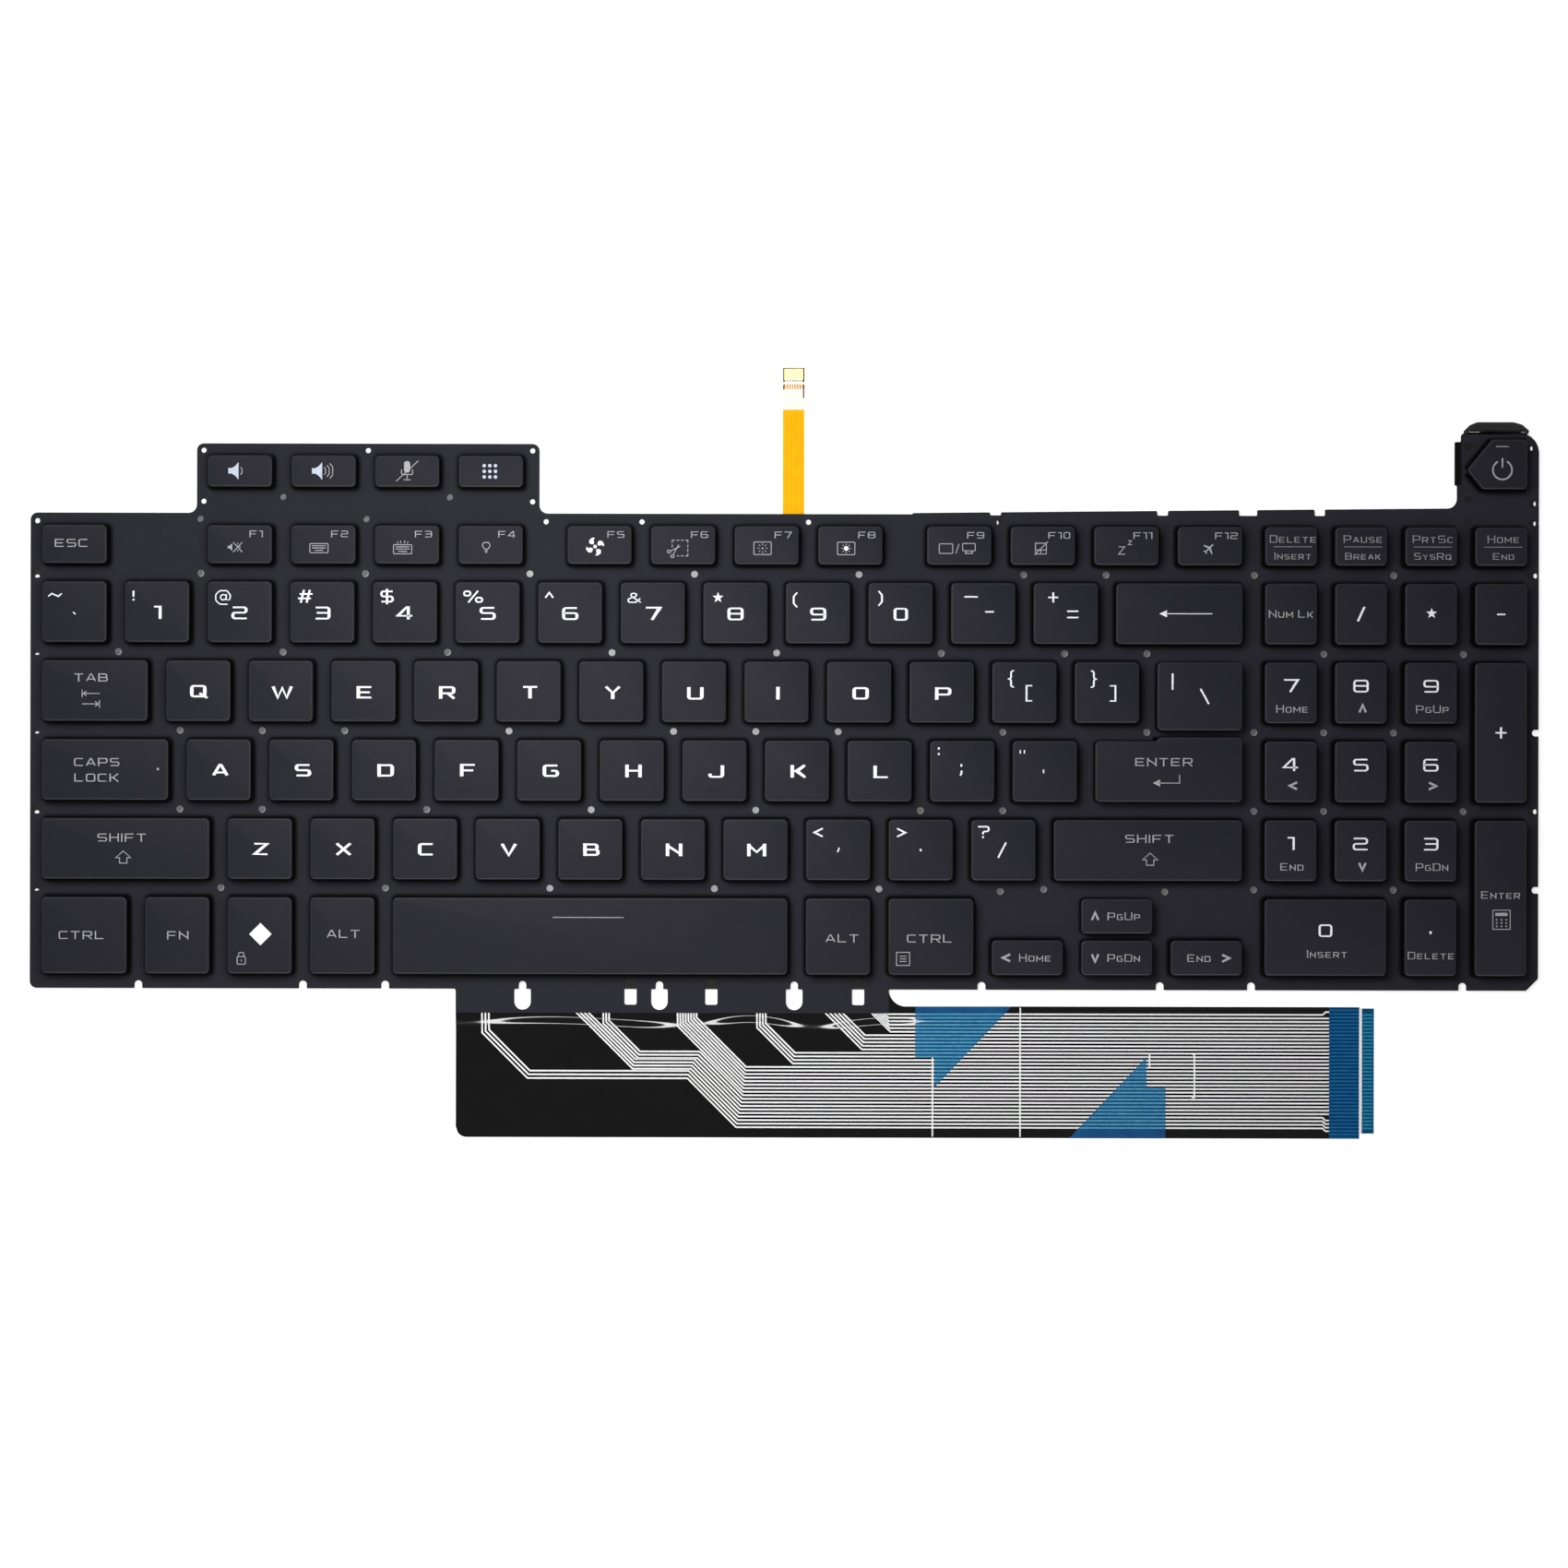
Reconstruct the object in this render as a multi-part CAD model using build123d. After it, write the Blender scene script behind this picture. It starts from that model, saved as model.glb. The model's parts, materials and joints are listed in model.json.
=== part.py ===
"""Laptop keyboard module: keycaps on scissor links and rubber domes, a film switch
membrane with a wide tail, a metal support plate, a backlight and its ribbon.

Millimetres. X runs along the key rows to the right, Y towards the function keys, Z up out of the keys.
The origin is under the middle of the module's box, on the surface that it lies on.
"""

import os
from math import asin, atan, degrees, hypot

from build123d import *

# Key layout
KEY_PITCH = 19.05
KEY_GAP = 4.05
ROW_GAP = 4.0
CAP_DEPTH = 14.2
FUNCTION_DEPTH = 9.0
MEDIA_DEPTH = 7.4
BOTTOM_DEPTH = 17.8
FUNCTION_GAP = 4.28
FUNCTION_GROUP_GAP = 10.1
MEDIA_ROW_GAP = 8.7
PAD_CAP_WIDTH = 12.1
BLOCK_GAP = 5.05
SPLIT_GAP = 1.4
BACKSLASH_DROP = 1.7
POWER_WIDTH = 14.1
POWER_DEPTH = 11.6
POWER_TIP_HEIGHT = 4.5
POWER_SLOPE = 0.82

# Keycaps
CAP_CORNER = 1.0
CAP_WALL = 0.9
CAP_ROOF = 0.8
CAP_HEIGHT = 2.2
KEY_TRAVEL = 1.8
TRAVEL_MARGIN = 0.3
HOMING_BAR_LENGTH = 3.0
HOMING_BAR_DEPTH = 0.5
HOMING_BAR_HEIGHT = 0.25
HOMING_BAR_EDGE = 2.6

# Layers, from the table up
REFLECTOR_THICKNESS = 0.1
GUIDE_THICKNESS = 0.4
PLATE_THICKNESS = 0.4
FILM_THICKNESS = 0.1

# Support plate outline
SIDE_MARGIN = 3.4
TOP_MARGIN = 3.0
BOTTOM_MARGIN = 3.5
MEDIA_TAB_RIGHT = 3.5
POWER_TAB_MARGIN = 2.8
POWER_LIP = 1.6
PLATE_CORNER = 1.7
POWER_TAB_CORNER = 3.0
FILM_INSET = 0.25
RIM_START = 29.6
RIM_STEP = 1.6
RIM_NOTCH = 2.8
EDGE_NOTCH = 1.8
SIDE_NOTCH = 1.5
CORNER_CUT = 2.8

# Holes
STAKE_HOLE_RADIUS = 0.75
STAKE_HOLE_EDGE = 1.6
STAKE_FILM_GAP = 0.35
LOCATING_HOLE_RADIUS = 0.8

# Inner layers
LAYER_INSET = 3.3
GUIDE_INSET = 4.0
LAYER_HOLE_GAP = 0.5
LED_STRIP_DEPTH = 3.4
LED_COUNT = 8
LED_LENGTH = 3.0
LED_DEPTH = 1.0
LED_GAP = 0.3

# Scissor links, domes and stabiliser wires
LINK_WALL_GAP = 1.0
LINK_BAR = 0.9
LINK_THICKNESS = 0.7
LINK_END_GAP = 0.1
DOME_GAP = 0.4
DOME_TAPER = 16.0
DOME_SIDES = 6
FIXED_DOME_SIDES = 4
WIRE = 0.6
WIRE_GAP = 0.2
WIRE_END_INSET = 3.5
WIRE_ARM = 6.0

# Membrane tail
TAIL_LEFT = -76.0
TAIL_TAB_RIGHT = 24.3
TAIL_RIGHT = 136.8
TAB_LENGTH = 5.5
TAIL_BEND_RUN = 4.0
ARM_GAP = 3.9
ARM_DEPTH = 30.5
ARM_SLIT = 0.5
TAIL_CORNER = 2.5
SLOT_XS = (-60.5, -28.8, 2.4)
SLOT_WIDTH = 3.8
SLOT_LENGTH = 4.8
WINDOW_XS = (-35.5, -16.8, 17.2)
WINDOW_WIDTH = 2.8
WINDOW_LENGTH = 3.6
STIFFENER_WIDTH = 7.0
STIFFENER_THICKNESS = 0.15
CONTACT_LENGTH = 3.4
TAPE_THICKNESS = 0.08
FIRST_TAPE_X = 30.5
LAST_TAPE_X = 88.5
TAPE_WIDTH = 22.3
TAPE_DEPTH = 18.8
TAPE_FLAG_WIDTH = 4.4
TAPE_FLAG_DEPTH = 11.7

# Backlight ribbon
RIBBON_X = 2.0
RIBBON_WIDTH = 5.0
RIBBON_LENGTH = 34.0
RIBBON_THICKNESS = 0.1
RIBBON_PAD_LENGTH = 9.8
RIBBON_PAD_THICKNESS = 0.15

# Levels worked out from the layers
GUIDE_Z = REFLECTOR_THICKNESS
PLATE_Z = GUIDE_Z + GUIDE_THICKNESS
BOTTOM_FILM_Z = PLATE_Z + PLATE_THICKNESS
SPACER_Z = BOTTOM_FILM_Z + FILM_THICKNESS
TOP_FILM_Z = SPACER_Z + FILM_THICKNESS
DECK_Z = TOP_FILM_Z + FILM_THICKNESS
SKIRT_Z = DECK_Z + KEY_TRAVEL + TRAVEL_MARGIN
CAP_TOP_Z = SKIRT_Z + CAP_HEIGHT
ROOF_Z = CAP_TOP_Z - CAP_ROOF

# Key rows: each key's name and its width in key pitches
NUMBER_ROW = [(name, 1) for name in ["grave", *"1234567890", "minus", "equals"]]
NUMBER_ROW += [("backspace", 1.75)]
TAB_ROW = [("tab", 1.5)] + [(name, 1) for name in [*"qwertyuiop", "left_bracket", "right_bracket"]]
TAB_ROW += [("backslash", 1.25)]
CAPS_ROW = [("caps_lock", 1.75)] + [(name, 1) for name in [*"asdfghjkl", "semicolon", "quote"]]
CAPS_ROW += [("enter", 2)]
SHIFT_ROW = [("left_shift", 2.25)] + [(name, 1) for name in [*"zxcvbnm", "comma", "period", "slash"]]
SHIFT_ROW += [("right_shift", 2.5)]
BOTTOM_ROW = [("left_ctrl", 1.25), ("fn", 1), ("system", 1), ("left_alt", 1), ("space", 5)]
BOTTOM_ROW += [("right_alt", 1), ("right_ctrl", 1.25)]
ROW_UNITS = sum(units for _, units in NUMBER_ROW)
ARROW_UNITS = (ROW_UNITS - sum(units for _, units in BOTTOM_ROW)) / 3

CAP_WIDTH = KEY_PITCH - KEY_GAP
MAIN_WIDTH = ROW_UNITS * KEY_PITCH - KEY_GAP
PAD_PITCH = PAD_CAP_WIDTH + KEY_GAP
PAD_WIDTH = 4 * PAD_PITCH - KEY_GAP
PLATE_WIDTH = 2 * SIDE_MARGIN + MAIN_WIDTH + BLOCK_GAP + PAD_WIDTH
LEFT = -PLATE_WIDTH / 2
RIGHT = PLATE_WIDTH / 2
KEYS_LEFT = LEFT + SIDE_MARGIN
PAD_LEFT = KEYS_LEFT + MAIN_WIDTH + BLOCK_GAP

# Heights along Y above the plate's lower edge, then moved so that the box is centred
KEYS_HEIGHT = BOTTOM_DEPTH + 4 * (CAP_DEPTH + ROW_GAP) + ROW_GAP + FUNCTION_DEPTH
PLATE_HEIGHT = BOTTOM_MARGIN + KEYS_HEIGHT + TOP_MARGIN
POWER_TAB_TOP = BOTTOM_MARGIN + KEYS_HEIGHT + MEDIA_ROW_GAP + POWER_DEPTH + TOP_MARGIN
BOTTOM = (ARM_GAP + ARM_DEPTH - POWER_TAB_TOP - POWER_LIP) / 2
TOP = BOTTOM + PLATE_HEIGHT
BOTTOM_ROW_Y = BOTTOM + BOTTOM_MARGIN
SHIFT_ROW_Y = BOTTOM_ROW_Y + BOTTOM_DEPTH + ROW_GAP
CAPS_ROW_Y = SHIFT_ROW_Y + CAP_DEPTH + ROW_GAP
TAB_ROW_Y = CAPS_ROW_Y + CAP_DEPTH + ROW_GAP
NUMBER_ROW_Y = TAB_ROW_Y + CAP_DEPTH + ROW_GAP
FUNCTION_ROW_Y = NUMBER_ROW_Y + CAP_DEPTH + ROW_GAP
MEDIA_ROW_Y = FUNCTION_ROW_Y + FUNCTION_DEPTH + MEDIA_ROW_GAP
MEDIA_TAB_TOP = MEDIA_ROW_Y + MEDIA_DEPTH + TOP_MARGIN
POWER_TOP = BOTTOM + POWER_TAB_TOP
TAIL_BOTTOM = BOTTOM - ARM_GAP - ARM_DEPTH


def rectangle(x0, x1, y0, y1):
    """A flat rectangle between two X and two Y values."""
    return Pos((x0 + x1) / 2, (y0 + y1) / 2) * Rectangle(x1 - x0, y1 - y0)


def slab(face, z0, z1):
    """A flat face made solid between two heights."""
    return Pos(0, 0, z0) * extrude(face, z1 - z0)


def block(x0, x1, y0, y1, z0, z1):
    return slab(rectangle(x0, x1, y0, y1), z0, z1)


def outline(*points):
    """A flat face inside straight edges through the given points."""
    return make_face(Polyline(*points, close=True))


def lay_out_row(row, y, depth):
    """Boxes (x0, x1, y0, y1) of a row's keys, set side by side from the left edge."""
    boxes = {}
    x = KEYS_LEFT
    for name, units in row:
        boxes[name] = (x, x + units * KEY_PITCH - KEY_GAP, y, y + depth)
        x += units * KEY_PITCH
    return boxes


def lay_out_functions():
    """Esc over the first key, then three groups of four that end at the block's right edge."""
    boxes = {"esc": (KEYS_LEFT, KEYS_LEFT + CAP_WIDTH)}
    x = KEYS_LEFT + 2 * KEY_PITCH
    for number in range(1, 13):
        boxes[f"f{number}"] = (x, x + CAP_WIDTH)
        x += CAP_WIDTH + (FUNCTION_GROUP_GAP if number % 4 == 0 else FUNCTION_GAP)
    for column, name in enumerate(["delete", "pause", "print", "home"]):
        boxes[name] = (pad_x(column), pad_x(column) + PAD_CAP_WIDTH)
    y = FUNCTION_ROW_Y
    boxes = {name: (x0, x1, y, y + FUNCTION_DEPTH) for name, (x0, x1) in boxes.items()}
    for number, name in enumerate(["volume_down", "volume_up", "mic_mute", "media"], 1):
        x0, x1, _, _ = boxes[f"f{number}"]
        boxes[name] = (x0, x1, MEDIA_ROW_Y, MEDIA_ROW_Y + MEDIA_DEPTH)
    return boxes


def pad_x(column):
    return PAD_LEFT + column * PAD_PITCH


def lay_out_arrows():
    """Three half-height keys side by side with the up key over the middle one."""
    pitch = ARROW_UNITS * KEY_PITCH
    depth = (BOTTOM_DEPTH - SPLIT_GAP) / 2
    x = KEYS_LEFT + MAIN_WIDTH + KEY_GAP - 3 * pitch
    boxes = {}
    for column, name in enumerate(["arrow_left", "arrow_down", "arrow_right"]):
        x0 = x + column * pitch
        boxes[name] = (x0, x0 + pitch - KEY_GAP, BOTTOM_ROW_Y, BOTTOM_ROW_Y + depth)
    x0, x1, _, y1 = boxes["arrow_down"]
    boxes["arrow_up"] = (x0, x1, y1 + SPLIT_GAP, y1 + SPLIT_GAP + depth)
    return boxes


def lay_out_pad():
    """The numeric pad: single keys, a double-width zero and two double-height keys."""
    rows = {
        NUMBER_ROW_Y: ["num_lock", "divide", "multiply", "subtract"],
        TAB_ROW_Y: ["pad_7", "pad_8", "pad_9"],
        CAPS_ROW_Y: ["pad_4", "pad_5", "pad_6"],
        SHIFT_ROW_Y: ["pad_1", "pad_2", "pad_3"],
    }
    boxes = {}
    for y, names in rows.items():
        for column, name in enumerate(names):
            boxes[name] = (pad_x(column), pad_x(column) + PAD_CAP_WIDTH, y, y + CAP_DEPTH)
    x0, x1 = pad_x(3), pad_x(3) + PAD_CAP_WIDTH
    boxes["add"] = (x0, x1, CAPS_ROW_Y, TAB_ROW_Y + CAP_DEPTH)
    boxes["pad_enter"] = (x0, x1, BOTTOM_ROW_Y, SHIFT_ROW_Y + CAP_DEPTH)
    y0, y1 = BOTTOM_ROW_Y, BOTTOM_ROW_Y + BOTTOM_DEPTH
    boxes["pad_0"] = (pad_x(0), pad_x(1) + PAD_CAP_WIDTH, y0, y1)
    boxes["pad_point"] = (pad_x(2), pad_x(2) + PAD_CAP_WIDTH, y0, y1)
    return boxes


FUNCTION_KEYS = lay_out_functions()
PAD_KEYS = lay_out_pad()
ARROW_KEYS = lay_out_arrows()
NUMBER_KEYS = lay_out_row(NUMBER_ROW, NUMBER_ROW_Y, CAP_DEPTH)
TAB_KEYS = lay_out_row(TAB_ROW, TAB_ROW_Y, CAP_DEPTH)
CAPS_KEYS = lay_out_row(CAPS_ROW, CAPS_ROW_Y, CAP_DEPTH)
SHIFT_KEYS = lay_out_row(SHIFT_ROW, SHIFT_ROW_Y, CAP_DEPTH)
BOTTOM_KEYS = lay_out_row(BOTTOM_ROW, BOTTOM_ROW_Y, BOTTOM_DEPTH)
POWER_RIGHT = RIGHT - SIDE_MARGIN
POWER_KEY = {
    "power": (POWER_RIGHT - POWER_WIDTH, POWER_RIGHT, MEDIA_ROW_Y, MEDIA_ROW_Y + POWER_DEPTH)
}
BACKSLASH = TAB_KEYS["backslash"]
TAB_KEYS["backslash"] = (*BACKSLASH[:2], BACKSLASH[2] - BACKSLASH_DROP, BACKSLASH[3])
KEYS = {**FUNCTION_KEYS, **NUMBER_KEYS, **TAB_KEYS, **CAPS_KEYS, **SHIFT_KEYS}
KEYS |= {**BOTTOM_KEYS, **ARROW_KEYS, **PAD_KEYS, **POWER_KEY}

# Which keys travel by themselves, and the groups of those that are fixed on their domes
SYMBOLS = ["left_bracket", "right_bracket", "backslash", "semicolon", "quote"]
SYMBOLS += ["comma", "period", "slash"]
NUMBERS = [name for name, _ in NUMBER_ROW if name != "backspace"]
FIXED_GROUPS = {
    "function_row_keys": list(FUNCTION_KEYS),
    "number_row_keys": NUMBERS,
    "symbol_keys": SYMBOLS,
    "pad_and_arrow_keys": [*PAD_KEYS, *ARROW_KEYS],
}
FIXED_KEYS = {name for group in FIXED_GROUPS.values() for name in group}
MOVING_KEYS = [name for name in KEYS if name not in FIXED_KEYS]
HOMED_KEYS = ["f", "j"]
STABILISED_KEYS = ["backspace", "caps_lock", "enter", "left_shift", "right_shift", "space"]


def middle(box):
    x0, x1, y0, y1 = box
    return (x0 + x1) / 2, (y0 + y1) / 2


def cut_corner_face(x0, x1, y0, y1):
    """A rectangle with its four corners taken off, as a keycap's plan."""
    return chamfer(rectangle(x0, x1, y0, y1).vertices(), CAP_CORNER)


def power_face(margin):
    """The power key's plan: a block with a point to the left, drawn in by a margin."""
    x0, x1, y0, y1 = POWER_KEY["power"]
    tip = margin * hypot(1, POWER_SLOPE)
    start = x0 + tip
    tip_y = y0 + POWER_TIP_HEIGHT
    low, high = y0 + margin, y1 - margin
    return outline(
        (start, tip_y),
        (start + (tip_y - low) * POWER_SLOPE, low),
        (x1 - margin, low),
        (x1 - margin, high),
        (start + (high - tip_y) * POWER_SLOPE, high),
    )


def enter_face():
    """The enter key's plan: its right part steps up towards the backslash key."""
    x0, x1, y0, y1 = CAPS_KEYS["enter"]
    step_x = TAB_KEYS["backslash"][0]
    step_y = TAB_KEYS["backslash"][2] - SPLIT_GAP
    face = rectangle(x0, x1, y0, y1) + rectangle(step_x, x1, y0, step_y)
    return chamfer(corners_at(face, [(x0, y0), (x0, y1), (x1, y0), (x1, step_y)]), CAP_CORNER)


def keycap(name):
    """A moulded cap: a flat roof on thin skirt walls, open below."""
    x0, x1, y0, y1 = KEYS[name]
    if name == "power":
        plan = power_face(0)
        hollow = power_face(CAP_WALL)
    else:
        plan = enter_face() if name == "enter" else cut_corner_face(x0, x1, y0, y1)
        hollow = rectangle(x0 + CAP_WALL, x1 - CAP_WALL, y0 + CAP_WALL, y1 - CAP_WALL)
    cap = slab(plan, SKIRT_Z, CAP_TOP_Z) - slab(hollow, SKIRT_Z, ROOF_Z)
    return cap + homing_bar(x0, x1, y0) if name in HOMED_KEYS else cap


def homing_bar(x0, x1, y0):
    """The raised bar that the resting fingers feel, near a cap's lower edge."""
    x, y = (x0 + x1) / 2, y0 + HOMING_BAR_EDGE
    bar = Pos(x, y) * Rectangle(HOMING_BAR_LENGTH, HOMING_BAR_DEPTH)
    return slab(bar, CAP_TOP_Z, CAP_TOP_Z + HOMING_BAR_HEIGHT)


LINK_WIDTH = CAP_WIDTH - 2 * (CAP_WALL + LINK_WALL_GAP)
LINK_LENGTH = CAP_DEPTH - 2 * (CAP_WALL + LINK_WALL_GAP)
INNER_LINK_WIDTH = LINK_WIDTH - 2 * LINK_BAR
DOME_RADIUS = INNER_LINK_WIDTH / 2 - LINK_BAR - DOME_GAP
SMALL_DOME_RADIUS = min(MEDIA_DEPTH, (BOTTOM_DEPTH - SPLIT_GAP) / 2) / 2 - CAP_WALL - DOME_GAP


def dome_under(name, sides):
    """A key's rubber dome, a tapered post from the deck to the cap: shallow keys have a small one."""
    _, _, y0, y1 = KEYS[name]
    radius = SMALL_DOME_RADIUS if y1 - y0 < CAP_DEPTH else DOME_RADIUS
    base = Pos(*middle(KEYS[name]), DECK_Z) * RegularPolygon(radius, sides)
    return extrude(base, ROOF_Z - DECK_Z, taper=DOME_TAPER)


def link(width, front_bar):
    """A flat link round the dome, about the origin: a closed frame, or a fork with no front bar."""
    half, end = width / 2, LINK_LENGTH / 2
    hole = rectangle(LINK_BAR - half, half - LINK_BAR, LINK_BAR - end, end - front_bar)
    return slab(Rectangle(width, LINK_LENGTH) - hole, -LINK_THICKNESS / 2, LINK_THICKNESS / 2)


# A link's ends stop just short of the deck and of the roof, which sets its tilt
LINK_RISE = (ROOF_Z - DECK_Z) / 2 - LINK_END_GAP
LINK_TILT = asin(LINK_RISE / hypot(LINK_LENGTH / 2, LINK_THICKNESS / 2))
LINK_TILT -= atan(LINK_THICKNESS / LINK_LENGTH)
LINK_Z = (ROOF_Z + DECK_Z) / 2
OUTER_LINK = Pos(0, 0, LINK_Z) * Rot(degrees(LINK_TILT), 0, 0) * link(LINK_WIDTH, LINK_BAR)
INNER_LINK = Pos(0, 0, LINK_Z) * Rot(-degrees(LINK_TILT), 0, 0) * link(INNER_LINK_WIDTH, 0)


def stabiliser_wire(name):
    """A wire clipped along the rear of a wide cap, with two arms down to the deck."""
    x0, x1, y0, y1 = KEYS[name]
    y = y1 - CAP_WALL - WIRE_GAP - WIRE / 2
    high = ROOF_Z - WIRE_GAP - WIRE / 2
    low = DECK_Z + WIRE_GAP + WIRE / 2
    left, right = x0 + WIRE_END_INSET, x1 - WIRE_END_INSET
    half = WIRE / 2
    wire = block(left, right, y - half, y + half, high - half, high + half)
    side = [(y + half, high), (y - half, high), (y - WIRE_ARM, low)]
    low_edge = [(py, pz - half) for py, pz in side]
    high_edge = [(py, pz + half) for py, pz in reversed(side)]
    for x in (left, right - WIRE):
        arm = Plane.YZ.offset(x) * outline(*low_edge, *high_edge)
        wire += extrude(arm, WIRE)
    return wire


def tab_box(inset):
    """The media tab's left, right and top, drawn in by an inset."""
    x0 = FUNCTION_KEYS["f1"][0] - TOP_MARGIN
    x1 = FUNCTION_KEYS["f4"][1] + MEDIA_TAB_RIGHT
    return x0 + inset, x1 - inset, MEDIA_TAB_TOP - inset


def deck_face(inset, lip):
    """The plan that the plate and the top film share: main field, two tabs and the rim."""
    left, right = LEFT + inset, RIGHT - inset
    bottom, top = BOTTOM + inset, TOP - inset
    media_left, media_right, media_top = tab_box(inset)
    power_left = POWER_KEY["power"][0] - POWER_TAB_MARGIN + inset
    power_top = POWER_TOP + lip - inset
    face = rectangle(left, right, bottom, top)
    face += rectangle(media_left, media_right, top, media_top)
    face += rectangle(RIM_START + inset, right, top, top + RIM_STEP)
    face += rectangle(power_left, right, top + RIM_STEP, power_top)
    small = [(left, top), (media_left, media_top), (media_right, media_top), (left, bottom)]
    tall = [(power_left, power_top), (right, power_top)]
    face = chamfer(corners_at(face, tall), POWER_TAB_CORNER)
    face = chamfer(corners_at(face, [(right, bottom)]), CORNER_CUT)
    return chamfer(corners_at(face, small), PLATE_CORNER)


def corners_at(face, places):
    """The corners of a face at the given places."""
    tight = 1e-4
    return [v for v in face.vertices() if any(hypot(v.X - x, v.Y - y) < tight for x, y in places)]


# Heights of the gaps between rows, where holes and notches line up
ROW_GAPS = [SHIFT_ROW_Y, CAPS_ROW_Y, TAB_ROW_Y, NUMBER_ROW_Y, FUNCTION_ROW_Y]
ROW_GAPS = [y - ROW_GAP / 2 for y in ROW_GAPS]
TOP_HOLE_Y = TOP - TOP_MARGIN / 2 - LOCATING_HOLE_RADIUS / 2
SIDE_X = RIGHT - STAKE_HOLE_EDGE
STAKE_HOLES = [(side * SIDE_X, ROW_GAPS[row]) for side in (-1, 1) for row in (1, 4)]


def edge_holes():
    """Locating holes through the film and the plate along the left, top and right edges."""
    holes = [(-SIDE_X, ROW_GAPS[row]) for row in (0, 2, 3)]
    holes += [(-SIDE_X, TOP_HOLE_Y), (SIDE_X, TOP_HOLE_Y)]
    media_left, media_right, media_top = tab_box(STAKE_HOLE_EDGE)
    low = MEDIA_ROW_Y - TOP_MARGIN
    holes += [(x, y) for x in (media_left, media_right) for y in (media_top, low)]
    holes.append(((media_left + media_right) / 2, media_top))
    for before, after in (("f4", "f5"), ("f5", "f6"), ("f7", "f8"), ("f9", "f10")):
        holes.append(((FUNCTION_KEYS[before][1] + FUNCTION_KEYS[after][0]) / 2, TOP_HOLE_Y))
    holes.append((SIDE_X, MEDIA_ROW_Y - TOP_MARGIN))
    return holes


def hole_face(x, y, radius):
    return Pos(x, y) * RegularPolygon(radius, 6)


def edge_notches():
    """Cuts in the plate's edges: the rim's gaps, the side notches and the lower ones."""
    cuts = []
    for before, after in (("f9", "f10"), ("f11", "f12"), ("f12", "delete"), ("delete", "pause")):
        x = (FUNCTION_KEYS[before][1] + FUNCTION_KEYS[after][0]) / 2
        cuts.append(rectangle(x - RIM_NOTCH / 2, x + RIM_NOTCH / 2, TOP, TOP + RIM_STEP))
    for y in (ROW_GAPS[0], ROW_GAPS[2]):
        cuts.append(rectangle(RIGHT - SIDE_NOTCH, RIGHT, y - SIDE_NOTCH / 2, y + SIDE_NOTCH / 2))
    keys = list(BOTTOM_KEYS.values())
    xs = [(keys[i][1] + keys[i + 1][0]) / 2 for i in (0, 2, 3)]
    xs += [keys[-1][1] + KEY_GAP / 2, ARROW_KEYS["arrow_right"][0] - KEY_GAP / 2]
    xs += [PAD_LEFT - BLOCK_GAP / 2, pad_x(3) - KEY_GAP / 2, *SLOT_XS]
    half = EDGE_NOTCH / 2
    cuts += [rectangle(x - half, x + half, BOTTOM, BOTTOM + EDGE_NOTCH) for x in xs]
    return cuts


def support_plate():
    """The stamped metal plate under the membrane."""
    face = deck_face(0, POWER_LIP) - edge_notches()
    face -= [hole_face(x, y, LOCATING_HOLE_RADIUS) for x, y in edge_holes()]
    face -= [Pos(x, y) * Circle(STAKE_HOLE_RADIUS) for x, y in STAKE_HOLES]
    return slab(face, PLATE_Z, BOTTOM_FILM_Z)


def tail_slots():
    """Openings of the tail's tab: round-ended slots and square windows beside the plate."""
    cuts = []
    for x in SLOT_XS:
        half = SLOT_WIDTH / 2
        slot = rectangle(x - half, x + half, BOTTOM - SLOT_LENGTH, BOTTOM)
        ends = [(x - half, BOTTOM - SLOT_LENGTH), (x + half, BOTTOM - SLOT_LENGTH)]
        cuts.append(chamfer(corners_at(slot, ends), SLOT_WIDTH / 3))
    for x in WINDOW_XS:
        half = WINDOW_WIDTH / 2
        cuts.append(rectangle(x - half, x + half, BOTTOM - WINDOW_LENGTH, BOTTOM))
    return cuts


def top_film():
    """The black film over the plate, with its tab past the lower edge."""
    face = deck_face(FILM_INSET, 0)
    face += rectangle(TAIL_LEFT, TAIL_TAB_RIGHT, BOTTOM - TAB_LENGTH, BOTTOM + PLATE_CORNER)
    face -= edge_notches() + tail_slots()
    face -= [hole_face(x, y, LOCATING_HOLE_RADIUS) for x, y in edge_holes()]
    face -= [hole_face(x, y, STAKE_HOLE_RADIUS + STAKE_FILM_GAP) for x, y in STAKE_HOLES]
    return slab(face, TOP_FILM_Z, DECK_Z)


def inner_rectangle(inset, top):
    """A rectangle inside the plate's main field, up to a given top edge."""
    return rectangle(LEFT + inset, RIGHT - inset, BOTTOM + inset, top)


BEND_START = BOTTOM - TAB_LENGTH
BEND_END = BEND_START - TAIL_BEND_RUN


def tail_edge(lift):
    """The tail's line seen from the side: level, down an S of two arcs, level on the table."""
    high, low = BOTTOM_FILM_Z + lift, lift
    turn = ((BEND_START + BEND_END) / 2, (high + low) / 2)
    upper = TangentArc((BEND_START, high), turn, tangent=(-1, 0))
    lower = TangentArc(turn, (BEND_END, low), tangent=upper % 1)
    first = Line((BOTTOM + LAYER_INSET, high), (BEND_START, high))
    return [first, upper, lower, Line((BEND_END, low), (TAIL_BOTTOM, low))]


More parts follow.
